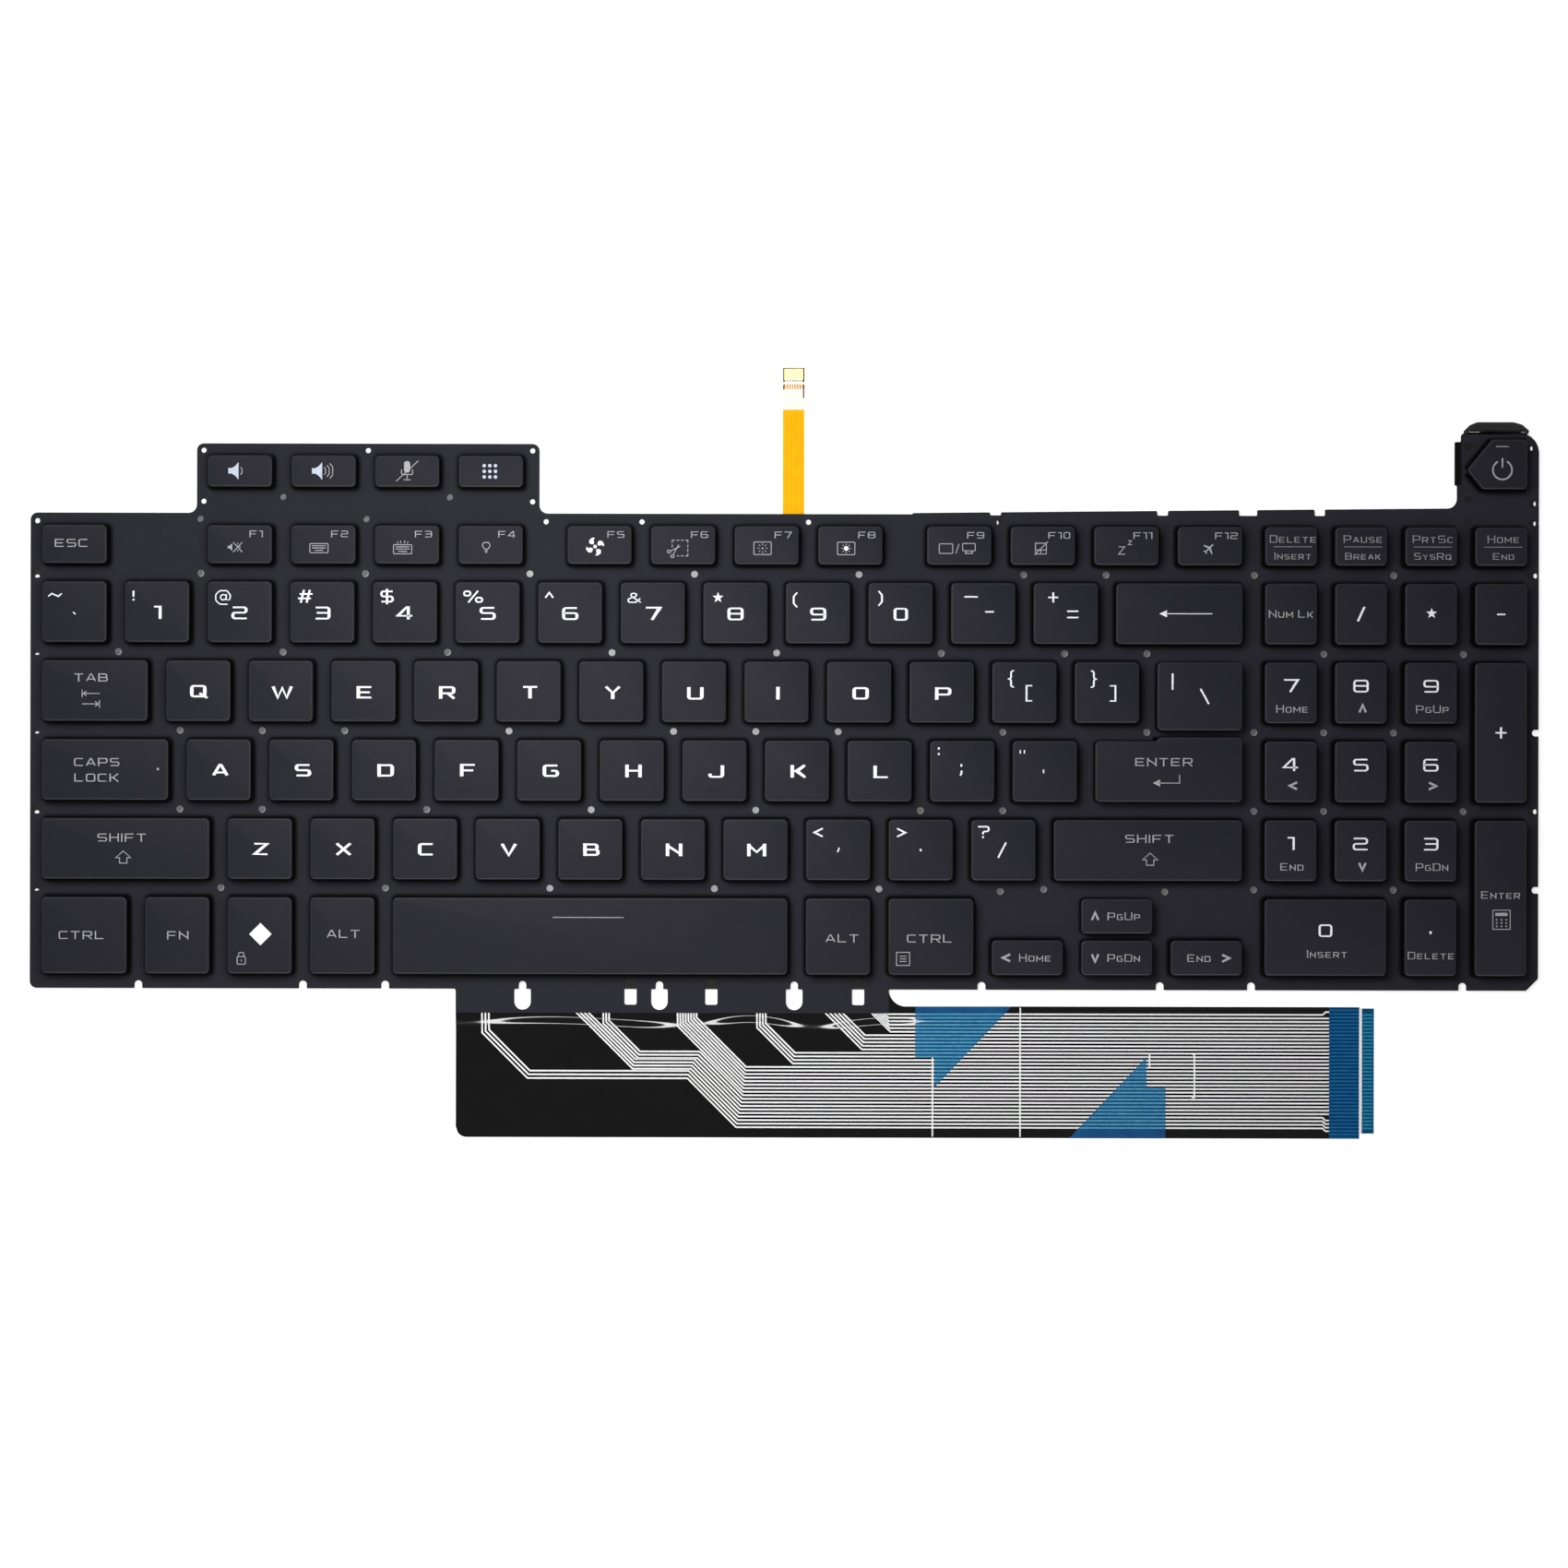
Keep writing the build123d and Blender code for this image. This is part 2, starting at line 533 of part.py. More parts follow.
def bottom_film():
    """The lower switch film: its field under the spacer and the tail in one piece."""
    field = slab(inner_rectangle(LAYER_INSET, TOP - LAYER_INSET), BOTTOM_FILM_Z, SPACER_Z)
    over, under = tail_edge(FILM_THICKNESS), tail_edge(0)
    ends = [Line(over[0] @ 0, under[0] @ 0), Line(over[-1] @ 1, under[-1] @ 1)]
    side = make_face(over + under + ends)
    strip = extrude(Plane.YZ.offset(TAIL_LEFT) * side, TAIL_TAB_RIGHT - TAIL_LEFT)
    strip -= [slab(cut, BOTTOM_FILM_Z, SPACER_Z) for cut in tail_slots()]
    arm = rectangle(TAIL_TAB_RIGHT, TAIL_RIGHT, TAIL_BOTTOM, BEND_END)
    arm += rectangle(TAIL_TAB_RIGHT + ARM_SLIT, TAIL_RIGHT, BEND_END, BOTTOM - ARM_GAP)
    corner = outline(
        (TAIL_LEFT, TAIL_BOTTOM),
        (TAIL_LEFT + TAIL_CORNER, TAIL_BOTTOM),
        (TAIL_LEFT, TAIL_BOTTOM + TAIL_CORNER),
    )
    return field + strip + slab(arm, 0, FILM_THICKNESS) - slab(corner, 0, FILM_THICKNESS)


def tape_face(x, y, turn):
    """An adhesive patch: a small square flag and a slanted triangle from one corner."""
    patch = outline(
        (0, 0),
        (TAPE_WIDTH, 0),
        (TAPE_FLAG_WIDTH, -TAPE_DEPTH),
        (TAPE_FLAG_WIDTH, -TAPE_FLAG_DEPTH),
        (0, -TAPE_FLAG_DEPTH),
    )
    return Pos(x, y) * Rot(0, 0, turn) * patch


def tail_tapes():
    faces = [tape_face(FIRST_TAPE_X, BOTTOM - ARM_GAP, 0), tape_face(LAST_TAPE_X, TAIL_BOTTOM, 180)]
    return [slab(face, FILM_THICKNESS, FILM_THICKNESS + TAPE_THICKNESS) for face in faces]


def tail_stiffener():
    x1 = TAIL_RIGHT - CONTACT_LENGTH
    x0 = x1 - STIFFENER_WIDTH
    top = FILM_THICKNESS + STIFFENER_THICKNESS
    return block(x0, x1, TAIL_BOTTOM, BOTTOM - ARM_GAP, FILM_THICKNESS, top)


# The backlight strip lies along the light guide's upper edge
STRIP_Y1 = TOP_HOLE_Y - LOCATING_HOLE_RADIUS - LAYER_HOLE_GAP
STRIP_Y0 = STRIP_Y1 - LED_STRIP_DEPTH


def backlight_leds():
    """Diodes in a row on the strip, facing the light guide's edge."""
    span = PLATE_WIDTH - 2 * GUIDE_INSET
    pitch = span / LED_COUNT
    y0 = STRIP_Y0 + LED_GAP
    leds = []
    for index in range(LED_COUNT):
        x = LEFT + GUIDE_INSET + (index + 0.5) * pitch
        x0, x1 = x - LED_LENGTH / 2, x + LED_LENGTH / 2
        leds.append(block(x0, x1, y0, y0 + LED_DEPTH, REFLECTOR_THICKNESS, PLATE_Z))
    return leds


def ribbon_box(y0, y1, z0, z1):
    half = RIBBON_WIDTH / 2
    return block(RIBBON_X - half, RIBBON_X + half, y0, y1, z0, z1)


RIBBON_END = TOP + RIBBON_LENGTH
PAD_Z = RIBBON_THICKNESS
GUIDE_SIDES = (LEFT + GUIDE_INSET, RIGHT - GUIDE_INSET)
REFLECTOR_INSET = STAKE_HOLE_EDGE + STAKE_HOLE_RADIUS + LAYER_HOLE_GAP

PARTS = {
    "support_plate": support_plate(),
    "membrane_top_film": top_film(),
    "membrane_spacer": slab(inner_rectangle(LAYER_INSET, TOP - LAYER_INSET), SPACER_Z, TOP_FILM_Z),
    "membrane_bottom_film": bottom_film(),
    "light_guide": slab(inner_rectangle(GUIDE_INSET, STRIP_Y0), GUIDE_Z, PLATE_Z),
    "reflector_film": slab(inner_rectangle(REFLECTOR_INSET, STRIP_Y0), 0, GUIDE_Z),
    "backlight_strip": block(*GUIDE_SIDES, STRIP_Y0, STRIP_Y1, 0, REFLECTOR_THICKNESS),
    "backlight_leds": backlight_leds(),
    "backlight_ribbon": ribbon_box(STRIP_Y1, RIBBON_END, 0, RIBBON_THICKNESS),
    "ribbon_contact_pad": ribbon_box(
        RIBBON_END - RIBBON_PAD_LENGTH, RIBBON_END, PAD_Z, PAD_Z + RIBBON_PAD_THICKNESS
    ),
    "tail_stiffener": tail_stiffener(),
    "tail_tapes": tail_tapes(),
}
LINKED_KEYS = [name for name in MOVING_KEYS if name != "power"]
PARTS["scissor_outer_links"] = [Pos(*middle(KEYS[name])) * OUTER_LINK for name in LINKED_KEYS]
PARTS["scissor_inner_links"] = [Pos(*middle(KEYS[name])) * INNER_LINK for name in LINKED_KEYS]
PARTS["rubber_domes"] = [dome_under(name, DOME_SIDES) for name in MOVING_KEYS]
PARTS["stabiliser_wires"] = [stabiliser_wire(name) for name in STABILISED_KEYS]
for group, names in FIXED_GROUPS.items():
    PARTS[group] = [keycap(name) + dome_under(name, FIXED_DOME_SIDES) for name in names]
for name in MOVING_KEYS:
    PARTS[f"key_{name}"] = keycap(name)

os.makedirs("parts", exist_ok=True)
for node, shape in PARTS.items():
    solid = Compound(children=shape) if isinstance(shape, list) else shape
    export_step(solid, f"parts/{node}.step")
print(len(PARTS), "nodes,", len(MOVING_KEYS), "travelling keys")
print("plate", round(PLATE_WIDTH, 3), "x", round(PLATE_HEIGHT, 3))
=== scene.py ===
# %% [markdown]
# # A laptop keyboard, dressed for its portrait
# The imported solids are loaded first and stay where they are. Every cell below either gives one of
# them a better finish or replaces it with a finer surface that is worked out with numpy.
# All lengths are written in millimetres, as a keyboard maker would, and turned into metres at the end.

import json

import bpy
import numpy as np
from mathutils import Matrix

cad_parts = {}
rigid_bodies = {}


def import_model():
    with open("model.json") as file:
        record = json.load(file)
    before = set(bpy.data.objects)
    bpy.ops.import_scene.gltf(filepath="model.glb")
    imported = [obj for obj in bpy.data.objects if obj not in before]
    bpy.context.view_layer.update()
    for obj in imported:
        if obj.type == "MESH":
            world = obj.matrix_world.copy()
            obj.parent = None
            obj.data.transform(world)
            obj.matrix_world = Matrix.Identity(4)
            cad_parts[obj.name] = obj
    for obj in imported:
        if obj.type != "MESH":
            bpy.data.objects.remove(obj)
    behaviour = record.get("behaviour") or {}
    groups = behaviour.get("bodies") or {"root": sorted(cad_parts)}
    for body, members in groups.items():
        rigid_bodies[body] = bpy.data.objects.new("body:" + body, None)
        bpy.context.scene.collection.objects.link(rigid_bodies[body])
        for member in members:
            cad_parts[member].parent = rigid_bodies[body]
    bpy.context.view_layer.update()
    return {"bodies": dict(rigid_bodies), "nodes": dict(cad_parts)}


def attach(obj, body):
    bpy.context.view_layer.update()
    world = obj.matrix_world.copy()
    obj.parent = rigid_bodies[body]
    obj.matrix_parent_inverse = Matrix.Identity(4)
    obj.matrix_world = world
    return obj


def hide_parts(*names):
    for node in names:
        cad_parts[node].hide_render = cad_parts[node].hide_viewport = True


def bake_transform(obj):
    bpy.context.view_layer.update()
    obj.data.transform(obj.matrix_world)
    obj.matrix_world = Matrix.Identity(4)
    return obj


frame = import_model()
MM = 0.001

# %% [markdown]
# ## The camera
# The keyboard was photographed from straight above, with a lens close enough that the keys at the
# edges show a little of the walls that face the middle. A camera a metre above the key tops, with its
# angle of view set from the width of the picture there, gives the same view. The keyboard lay turned by
# an eighth of a degree under it, so the camera is turned by as much.

# %% Camera
CAP_TOP = 5.5
PICTURE_WIDTH = 361.5
PICTURE_MIDDLE = (-0.06, -1.24)
PICTURE_TURN = 0.12
CAMERA_DISTANCE = 1000.0

camera = bpy.data.objects.new("camera", bpy.data.cameras.new("camera"))
camera.data.sensor_width = 36.0
camera.data.lens = camera.data.sensor_width * CAMERA_DISTANCE / PICTURE_WIDTH
camera.location = (*[v * MM for v in PICTURE_MIDDLE], (CAP_TOP + CAMERA_DISTANCE) * MM)
camera.rotation_euler.z = np.radians(PICTURE_TURN)
bpy.context.scene.collection.objects.link(camera)
bpy.context.scene.camera = camera
print("lens", round(camera.data.lens, 1), "mm")

# %% [markdown]
# ## Finishes
# A finish could be one flat colour, but moulded plastic, printed film and coated metal all show fine
# grain and small changes of shade. Each finish here is one shader whose colour, gloss and relief come
# from a noise in the piece's own coordinates, so that the grain keeps its real size on every piece.


# %% One recipe for the finishes
def finish(name, dark, light, gloss, grain, relief=0.0, **constants):
    """A noise of the given grain (mm) mixes two colours and two roughnesses and lifts the surface.

    gloss is the lowest and highest roughness, relief the height of the grain (mm).
    The constants go straight to the shader's own sockets.
    """
    material = bpy.data.materials.new(name)
    material.use_nodes = True
    nodes, links = material.node_tree.nodes, material.node_tree.links
    shader = nodes["Principled BSDF"]
    place = nodes.new("ShaderNodeTexCoord")
    noise = nodes.new("ShaderNodeTexNoise")
    noise.inputs["Scale"].default_value = 1 / (grain * MM)
    noise.inputs["Detail"].default_value = 4
    links.new(place.outputs["Object"], noise.inputs["Vector"])
    shade = nodes.new("ShaderNodeValToRGB")
    for stop, at, colour in zip(shade.color_ramp.elements, (0.35, 0.65), (dark, light)):
        stop.position = at
        stop.color = (*colour, 1)
    links.new(noise.outputs["Fac"], shade.inputs["Fac"])
    links.new(shade.outputs["Color"], shader.inputs["Base Color"])
    rough = nodes.new("ShaderNodeMapRange")
    rough.inputs["To Min"].default_value, rough.inputs["To Max"].default_value = gloss
    links.new(noise.outputs["Fac"], rough.inputs["Value"])
    links.new(rough.outputs["Result"], shader.inputs["Roughness"])
    if relief:
        bump = nodes.new("ShaderNodeBump")
        bump.inputs["Distance"].default_value = relief * MM
        links.new(noise.outputs["Fac"], bump.inputs["Height"])
        links.new(bump.outputs["Normal"], shader.inputs["Normal"])
    for socket, value in constants.items():
        shader.inputs[socket.replace("_", " ")].default_value = value
    return material


def grey(value, tint=0.0):
    """A grey with a little more blue than red."""
    return (value, value, value * (1 + tint))


CAP = finish("keycap_plastic", grey(0.0085, 0.6), grey(0.0112, 0.6), (0.42, 0.52), 0.16, 0.01, Specular_IOR_Level=0.08)
# A lighter, glossier copy of the cap plastic for the upper part of the edge's rounding: a painted highlight.
CAP_RIM_PAINTED_HIGHLIGHT = finish("keycap_rim_painted_highlight", grey(0.0125, 0.4), grey(0.016, 0.4), (0.35, 0.45), 0.16, 0.005, Specular_IOR_Level=0.13)
# A near-black copy of the cap plastic for the cap's walls and underside: painted shade.
CAP_SIDE_PAINTED_SHADE = finish("keycap_side_painted_shade", grey(0.0022, 0.2), grey(0.0032, 0.2), (0.5, 0.6), 0.2, 0.005, Specular_IOR_Level=0.03)
FILM_DARK, FILM_LIGHT, FILM_SHINE = grey(0.0205, 0.32), grey(0.0248, 0.32), 0.02
FILM = finish("deck_film", FILM_DARK, FILM_LIGHT, (0.45, 0.6), 0.3, 0.006, Specular_IOR_Level=FILM_SHINE)
PLATE = finish("plate_coating", grey(0.006), grey(0.009), (0.3, 0.45), 0.5, 0.01, Specular_IOR_Level=0.1)
TAIL_DARK, TAIL_LIGHT = (0.0009, 0.0007, 0.0007), (0.0018, 0.0012, 0.0012)
TAIL = finish("tail_film", TAIL_DARK, TAIL_LIGHT, (0.04, 0.07), 6.0, Specular_IOR_Level=0.12)
# Grey for the discs of painted shade inside the film's outer holes.
HOLE_PAINTED_SHADE = finish("film_glue", grey(0.10), grey(0.15), (0.3, 0.4), 0.5, Specular_IOR_Level=0.1)
SPACER = finish("spacer_film", grey(0.21), grey(0.29), (0.3, 0.4), 1.0)
INK = finish("trace_ink", grey(0.8), grey(0.92), (0.4, 0.55), 0.4, 0.004)
BRIGHT = finish("bright_legend", grey(0.84, 0.05), grey(0.93, 0.05), (0.4, 0.5), 0.5, Specular_IOR_Level=0.1)
DULL = finish("dull_legend", grey(0.24, 0.04), grey(0.32, 0.04), (0.45, 0.55), 0.4, Specular_IOR_Level=0.1)
COOL = finish("cool_legend", (0.5, 0.55, 0.66), (0.58, 0.63, 0.75), (0.4, 0.5), 0.4, Specular_IOR_Level=0.1)
DIM = finish("dim_legend", grey(0.34, 0.04), grey(0.44, 0.04), (0.45, 0.55), 0.4, Specular_IOR_Level=0.1)
RUBBER = finish("dome_rubber", grey(0.5), grey(0.58), (0.5, 0.6), 0.8, 0.01)
LINK = finish("link_plastic", grey(0.02), grey(0.03), (0.35, 0.45), 0.3, 0.005)
STEEL = finish("wire_steel", grey(0.5), grey(0.6), (0.25, 0.4), 0.2, 0.004, Metallic=1.0)
GUIDE = finish("light_guide_sheet", grey(0.36), grey(0.44), (0.2, 0.3), 0.8)
REFLECTOR = finish("reflector_film", grey(0.75), grey(0.8), (0.5, 0.6), 0.5)
FLEX = finish("polyimide", (0.92, 0.43, 0.0), (0.98, 0.49, 0.001), (0.35, 0.5), 3.0, Specular_IOR_Level=0.03)
DIODE = finish("diode_body", (0.7, 0.66, 0.4), (0.8, 0.76, 0.5), (0.3, 0.4), 0.4)
PAD = finish("pad_board", (0.82, 0.78, 0.66), (0.9, 0.87, 0.78), (0.4, 0.5), 0.6)
GOLD = finish("contact_gold", (0.75, 0.45, 0.12), (0.85, 0.55, 0.2), (0.2, 0.35), 0.3, Metallic=1.0)
STIFFENER = finish("stiffener_film", (0.005, 0.12, 0.31), (0.009, 0.15, 0.36), (0.2, 0.3), 2.0, Specular_IOR_Level=0.06)
TAPE_DARK, TAPE_LIGHT = (0.001, 0.06, 0.19), (0.004, 0.085, 0.24)
TAPE = finish("tape_film", TAPE_DARK, TAPE_LIGHT, (0.04, 0.08), 5.0, Specular_IOR_Level=0.14, Alpha=0.97)
TAPE_LINE = finish("line_under_tape", (0.06, 0.29, 0.45), (0.10, 0.37, 0.53), (0.1, 0.2), 1.0, Specular_IOR_Level=0.1)
print(len(bpy.data.materials), "finishes")

# %% [markdown]
# ## Surfaces from arrays
# A cap, a hole and a letter all begin as an outline in plan. Three small array recipes are enough: move
# an outline inwards, round its corners, and stack outlines at several heights into a closed shell.


# %% Outlines and shells
def unit(vectors):
    return vectors / np.linalg.norm(vectors, axis=-1, keepdims=True)


def box_corners(x0, x1, y0, y1):
    return np.array([(x0, y0), (x1, y0), (x1, y1), (x0, y1)], float)


def inset(corners, depth):
    """Each edge moves inwards: corner + depth * (a + b) / (1 + a.b), a and b its two edges' normals."""
    edge = unit(np.roll(corners, -1, 0) - corners)
    after = np.stack([-edge[:, 1], edge[:, 0]], 1)
    before = np.roll(after, 1, 0)
    return corners + depth * (before + after) / (1 + (before * after).sum(1))[:, None]


def rounded(corners, radius, steps=7, closed=True):
    """Each corner becomes a circular arc: a rational parabola between the two points where the arc
    meets the edges, with the cosine of half of the turn as the corner's weight."""
    back = unit(np.roll(corners, 1, 0) - corners)
    ahead = unit(np.roll(corners, -1, 0) - corners)
    half = np.arccos(np.clip(-(back * ahead).sum(1), -1, 1)) / 2
    reach = (np.broadcast_to(radius, half.shape) * np.tan(half))[:, None, None]
    t = np.linspace(0, 1, steps)[None, :, None]
    weight = 2 * t * (1 - t) * np.cos(half)[:, None, None]
    start, stop = (1 - t) ** 2, t**2
    middle = corners[:, None, :]
    arcs = start * (middle + back[:, None] * reach) + weight * middle + stop * (middle + ahead[:, None] * reach)
    arcs = arcs / (start + weight + stop)
    if closed:
        return arcs.reshape(-1, 2)
    return np.vstack([corners[:1], arcs[1:-1].reshape(-1, 2), corners[-1:]])


def circle(x, y, radius, start=0.0, stop=360.0, count=20, closed=True):
    angle = np.radians(np.linspace(start, stop, count, endpoint=not closed))
    return np.stack([x + radius * np.cos(angle), y + radius * np.sin(angle)], 1)


def shell(rings, heights):
    """Outlines at heights: place along the outline by ring number, with a flat face at both ends."""
    count = len(rings[0])
    points = np.concatenate([np.column_stack([r, np.full(count, z)]) for r, z in zip(rings, heights)])
    i = np.arange(count)
    lower = np.arange(len(rings) - 1)[:, None] * count
    quads = np.stack([lower + i, lower + np.roll(i, -1), lower + count + np.roll(i, -1), lower + count + i], -1)
    top = (len(rings) - 1) * count + i
    return points, quads.reshape(-1, 4).tolist() + [i[::-1].tolist(), top.tolist()]


def prism(corners, low, high):
    return shell([corners, corners], [low, high])


# %% [markdown]
# ## From arrays to pieces
# A piece gathers several surfaces, each with its finish, into one mesh at the origin. Edges sharper than
# forty degrees stay sharp, and the rest shade smoothly.


# %% One recipe for the pieces
SHARP = np.radians(40)


def piece(name, surfaces, body="deck", replaces=()):
    """surfaces: (points in mm, faces, finish or one finish for each face), scaled to metres as one array."""
    counts = np.cumsum([0] + [len(points) for points, _, _ in surfaces])
    points = np.concatenate([points for points, _, _ in surfaces]) * MM
    faces = [[v + start for v in face] for (_, part, _), start in zip(surfaces, counts) for face in part]
    paint = [m for _, part, m in surfaces for m in (m if isinstance(m, list) else [m] * len(part))]
    finishes = list(dict.fromkeys(paint))
    index = [finishes.index(material) for material in paint]
    mesh = bpy.data.meshes.new(name)
    mesh.from_pydata(points.tolist(), [], faces)
    mesh.polygons.foreach_set("material_index", index)
    mesh.polygons.foreach_set("use_smooth", np.ones(len(faces), bool))
    mesh.set_sharp_from_angle(angle=SHARP)
    for material in finishes:
        mesh.materials.append(material)
    made = bpy.data.objects.new(name, mesh)
    bpy.context.scene.collection.objects.link(made)
    if body:
        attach(made, body)
    if replaces:
        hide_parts(*replaces)
    return made


# %% [markdown]
# ## Where the keys are
# The rows are laid out as they are on the real deck: keys side by side on a pitch of 19.05 mm, with the
# wide keys in multiples of it, three groups of function keys, half-height arrows and a narrow number pad.

# %% Key boxes
PITCH, GAP, CAP_DEPTH = 19.05, 4.05, 14.2
KEYS_LEFT, PAD_LEFT, PAD_WIDTH = -171.26875, 110.71875, 12.1
BOTTOM_ROW, SHIFT_ROW, CAPS_ROW = -45.3, -23.5, -5.3
TAB_ROW, NUMBER_ROW, FUNCTION_ROW, MEDIA_ROW = 12.9, 31.1, 49.3, 67.0
BOTTOM_DEPTH, FUNCTION_DEPTH, MEDIA_DEPTH, SPLIT = 17.8, 9.0, 7.4, 1.4
FUNCTION_GAP, GROUP_GAP = 4.28, 10.1


def row(names, widths, y, depth=CAP_DEPTH):
    """Boxes (x0, x1, y0, y1) side by side: running sums of the widths times the pitch."""
    widths = np.array(widths) * PITCH
    left = KEYS_LEFT + np.cumsum(widths) - widths
    return {n: (x, x + w - GAP, y, y + depth) for n, x, w in zip(names.split(), left, widths)}


keys = row("grave 1 2 3 4 5 6 7 8 9 0 minus equals backspace", [1] * 13 + [1.75], NUMBER_ROW)
keys |= row("tab q w e r t y u i o p left_bracket right_bracket backslash", [1.5] + [1] * 12 + [1.25], TAB_ROW)
keys |= row("caps_lock a s d f g h j k l semicolon quote enter", [1.75] + [1] * 11 + [2], CAPS_ROW)
keys |= row("left_shift z x c v b n m comma period slash right_shift", [2.25] + [1] * 10 + [2.5], SHIFT_ROW)
bottom_names = "left_ctrl fn system left_alt space right_alt right_ctrl"
keys |= row(bottom_names, [1.25, 1, 1, 1, 5, 1, 1.25], BOTTOM_ROW, BOTTOM_DEPTH)
x0, x1, y0, y1 = keys["backslash"]
keys["backslash"] = (x0, x1, y0 - 1.7, y1)
keys["esc"] = (KEYS_LEFT, KEYS_LEFT + PITCH - GAP, FUNCTION_ROW, FUNCTION_ROW + FUNCTION_DEPTH)
number = np.arange(12)
left = KEYS_LEFT + 2 * PITCH + number * (PITCH - GAP + FUNCTION_GAP) + number // 4 * (GROUP_GAP - FUNCTION_GAP)
for i, x in enumerate(left):
    keys[f"f{i + 1}"] = (x, x + PITCH - GAP, FUNCTION_ROW, FUNCTION_ROW + FUNCTION_DEPTH)
for name, x in zip(["volume_down", "volume_up", "mic_mute", "media"], left):
    keys[name] = (x, x + PITCH - GAP, MEDIA_ROW, MEDIA_ROW + MEDIA_DEPTH)
pad_x = PAD_LEFT + np.arange(4) * (PAD_WIDTH + GAP)
PAD_ROWS = {
    "delete pause print home": (FUNCTION_ROW, FUNCTION_DEPTH),
    "num_lock divide multiply subtract": (NUMBER_ROW, CAP_DEPTH),
    "pad_7 pad_8 pad_9": (TAB_ROW, CAP_DEPTH),
    "pad_4 pad_5 pad_6": (CAPS_ROW, CAP_DEPTH),
    "pad_1 pad_2 pad_3": (SHIFT_ROW, CAP_DEPTH),
}
for names, (y, depth) in PAD_ROWS.items():
    keys |= {n: (x, x + PAD_WIDTH, y, y + depth) for n, x in zip(names.split(), pad_x)}
keys["add"] = (pad_x[3], pad_x[3] + PAD_WIDTH, CAPS_ROW, TAB_ROW + CAP_DEPTH)
keys["pad_enter"] = (pad_x[3], pad_x[3] + PAD_WIDTH, BOTTOM_ROW, SHIFT_ROW + CAP_DEPTH)
keys["pad_0"] = (pad_x[0], pad_x[1] + PAD_WIDTH, BOTTOM_ROW, BOTTOM_ROW + BOTTOM_DEPTH)
keys["pad_point"] = (pad_x[2], pad_x[2] + PAD_WIDTH, BOTTOM_ROW, BOTTOM_ROW + BOTTOM_DEPTH)
arrow_pitch = 3.25 * PITCH / 3
arrow_x = keys["backspace"][1] + GAP - arrow_pitch * np.array([3, 2, 1])
half_depth = (BOTTOM_DEPTH - SPLIT) / 2
for name, x in zip(["arrow_left", "arrow_down", "arrow_right"], arrow_x):
    keys[name] = (x, x + arrow_pitch - GAP, BOTTOM_ROW, BOTTOM_ROW + half_depth)
keys["arrow_up"] = (*keys["arrow_down"][:2], BOTTOM_ROW + half_depth + SPLIT, BOTTOM_ROW + BOTTOM_DEPTH)
keys["power"] = (157.16875, 171.26875, MEDIA_ROW, MEDIA_ROW + 11.6)
print(len(keys), "keys")

# %% [markdown]
# ## Caps
# A cap is a thin moulded shell with a flat top, straight sides and a fine rounding where they meet. A
# bevelled block would do from afar, but stacking insets of one outline gives the rounding its true circle,
# a hollow underside and clean rings that also suit the stepped enter key and the pointed power key.

# %% Cap shells
SKIRT, ROOF, WALL = 3.3, 4.7, 0.9
CORNER, EDGE, LIP = 1.15, 0.42, 0.12
arc = np.linspace(0, np.pi / 2, 6)
CAP_DEPTHS = np.array([WALL, WALL, LIP, 0, *(EDGE * (1 - np.cos(arc)))])
CAP_HEIGHTS = np.array([ROOF, SKIRT, SKIRT, SKIRT + LIP, *(CAP_TOP - EDGE + EDGE * np.sin(arc))])
TIGHT = 0.15
SIDE_RINGS = 6


def cap_corners(name):
    """The corners of a cap's plan, anticlockwise."""
    x0, x1, y0, y1 = keys[name]
    if name == "enter":
        step_x, step_y = keys["backslash"][0], keys["backslash"][2] - SPLIT
        return np.array([(x0, y0), (x1, y0), (x1, step_y), (step_x, step_y), (step_x, y1), (x0, y1)])
    if name == "power":
        slope, tip = 0.82, y0 + 4.5
        low, high = x0 + (tip - y0) * slope, x0 + (y1 - tip) * slope
        return np.array([(x0, tip), (low, y0), (x1, y0), (x1, y1), (high, y1)])
    return box_corners(x0, x1, y0, y1)


def cap_shell(name):
    """Insets of the cap's outline at the heights of its wall and of a quarter circle at its edge.

    An outer corner's radius shrinks by the inset, and the one inner corner's grows by it.
    """
    corners = cap_corners(name)
    back, ahead = np.roll(corners, 1, 0) - corners, np.roll(corners, -1, 0) - corners
    inner = ahead[:, 0] * back[:, 1] - ahead[:, 1] * back[:, 0] < 0
    radii = [np.where(inner, TIGHT + d, np.maximum(CORNER - d, TIGHT)) for d in CAP_DEPTHS]
    rings = [rounded(inset(corners, d), r) for d, r in zip(CAP_DEPTHS, radii)]
    points, faces = shell(rings, CAP_HEIGHTS)
    ring = len(rings[0])
    # Walls and underside take the painted shade, the upper rounding takes the painted highlight, and the flat top keeps
    # the plain cap plastic.
    paint = [CAP_SIDE_PAINTED_SHADE] * (ring * SIDE_RINGS) + [CAP_RIM_PAINTED_HIGHLIGHT] * (len(faces) - ring * SIDE_RINGS - 2) + [CAP_SIDE_PAINTED_SHADE, CAP]
    return points, faces, paint


HOMING_EDGE, HOMING_HALF = 2.6, (1.5, 0.25)


def homing_bar(name):
    """The small raised bar that the forefingers feel: a rounded prism on the cap."""
    x, y = middle(name)
    y = keys[name][2] + HOMING_EDGE
    half_x, half_y = HOMING_HALF
    corners = box_corners(x - half_x, x + half_x, y - half_y, y + half_y)
    rings = [rounded(inset(corners, d), TIGHT - d / 2) for d in (0, 0, 0.06)]
    return (*shell(rings, [CAP_TOP - 0.1, CAP_TOP + 0.16, CAP_TOP + 0.22]), CAP)


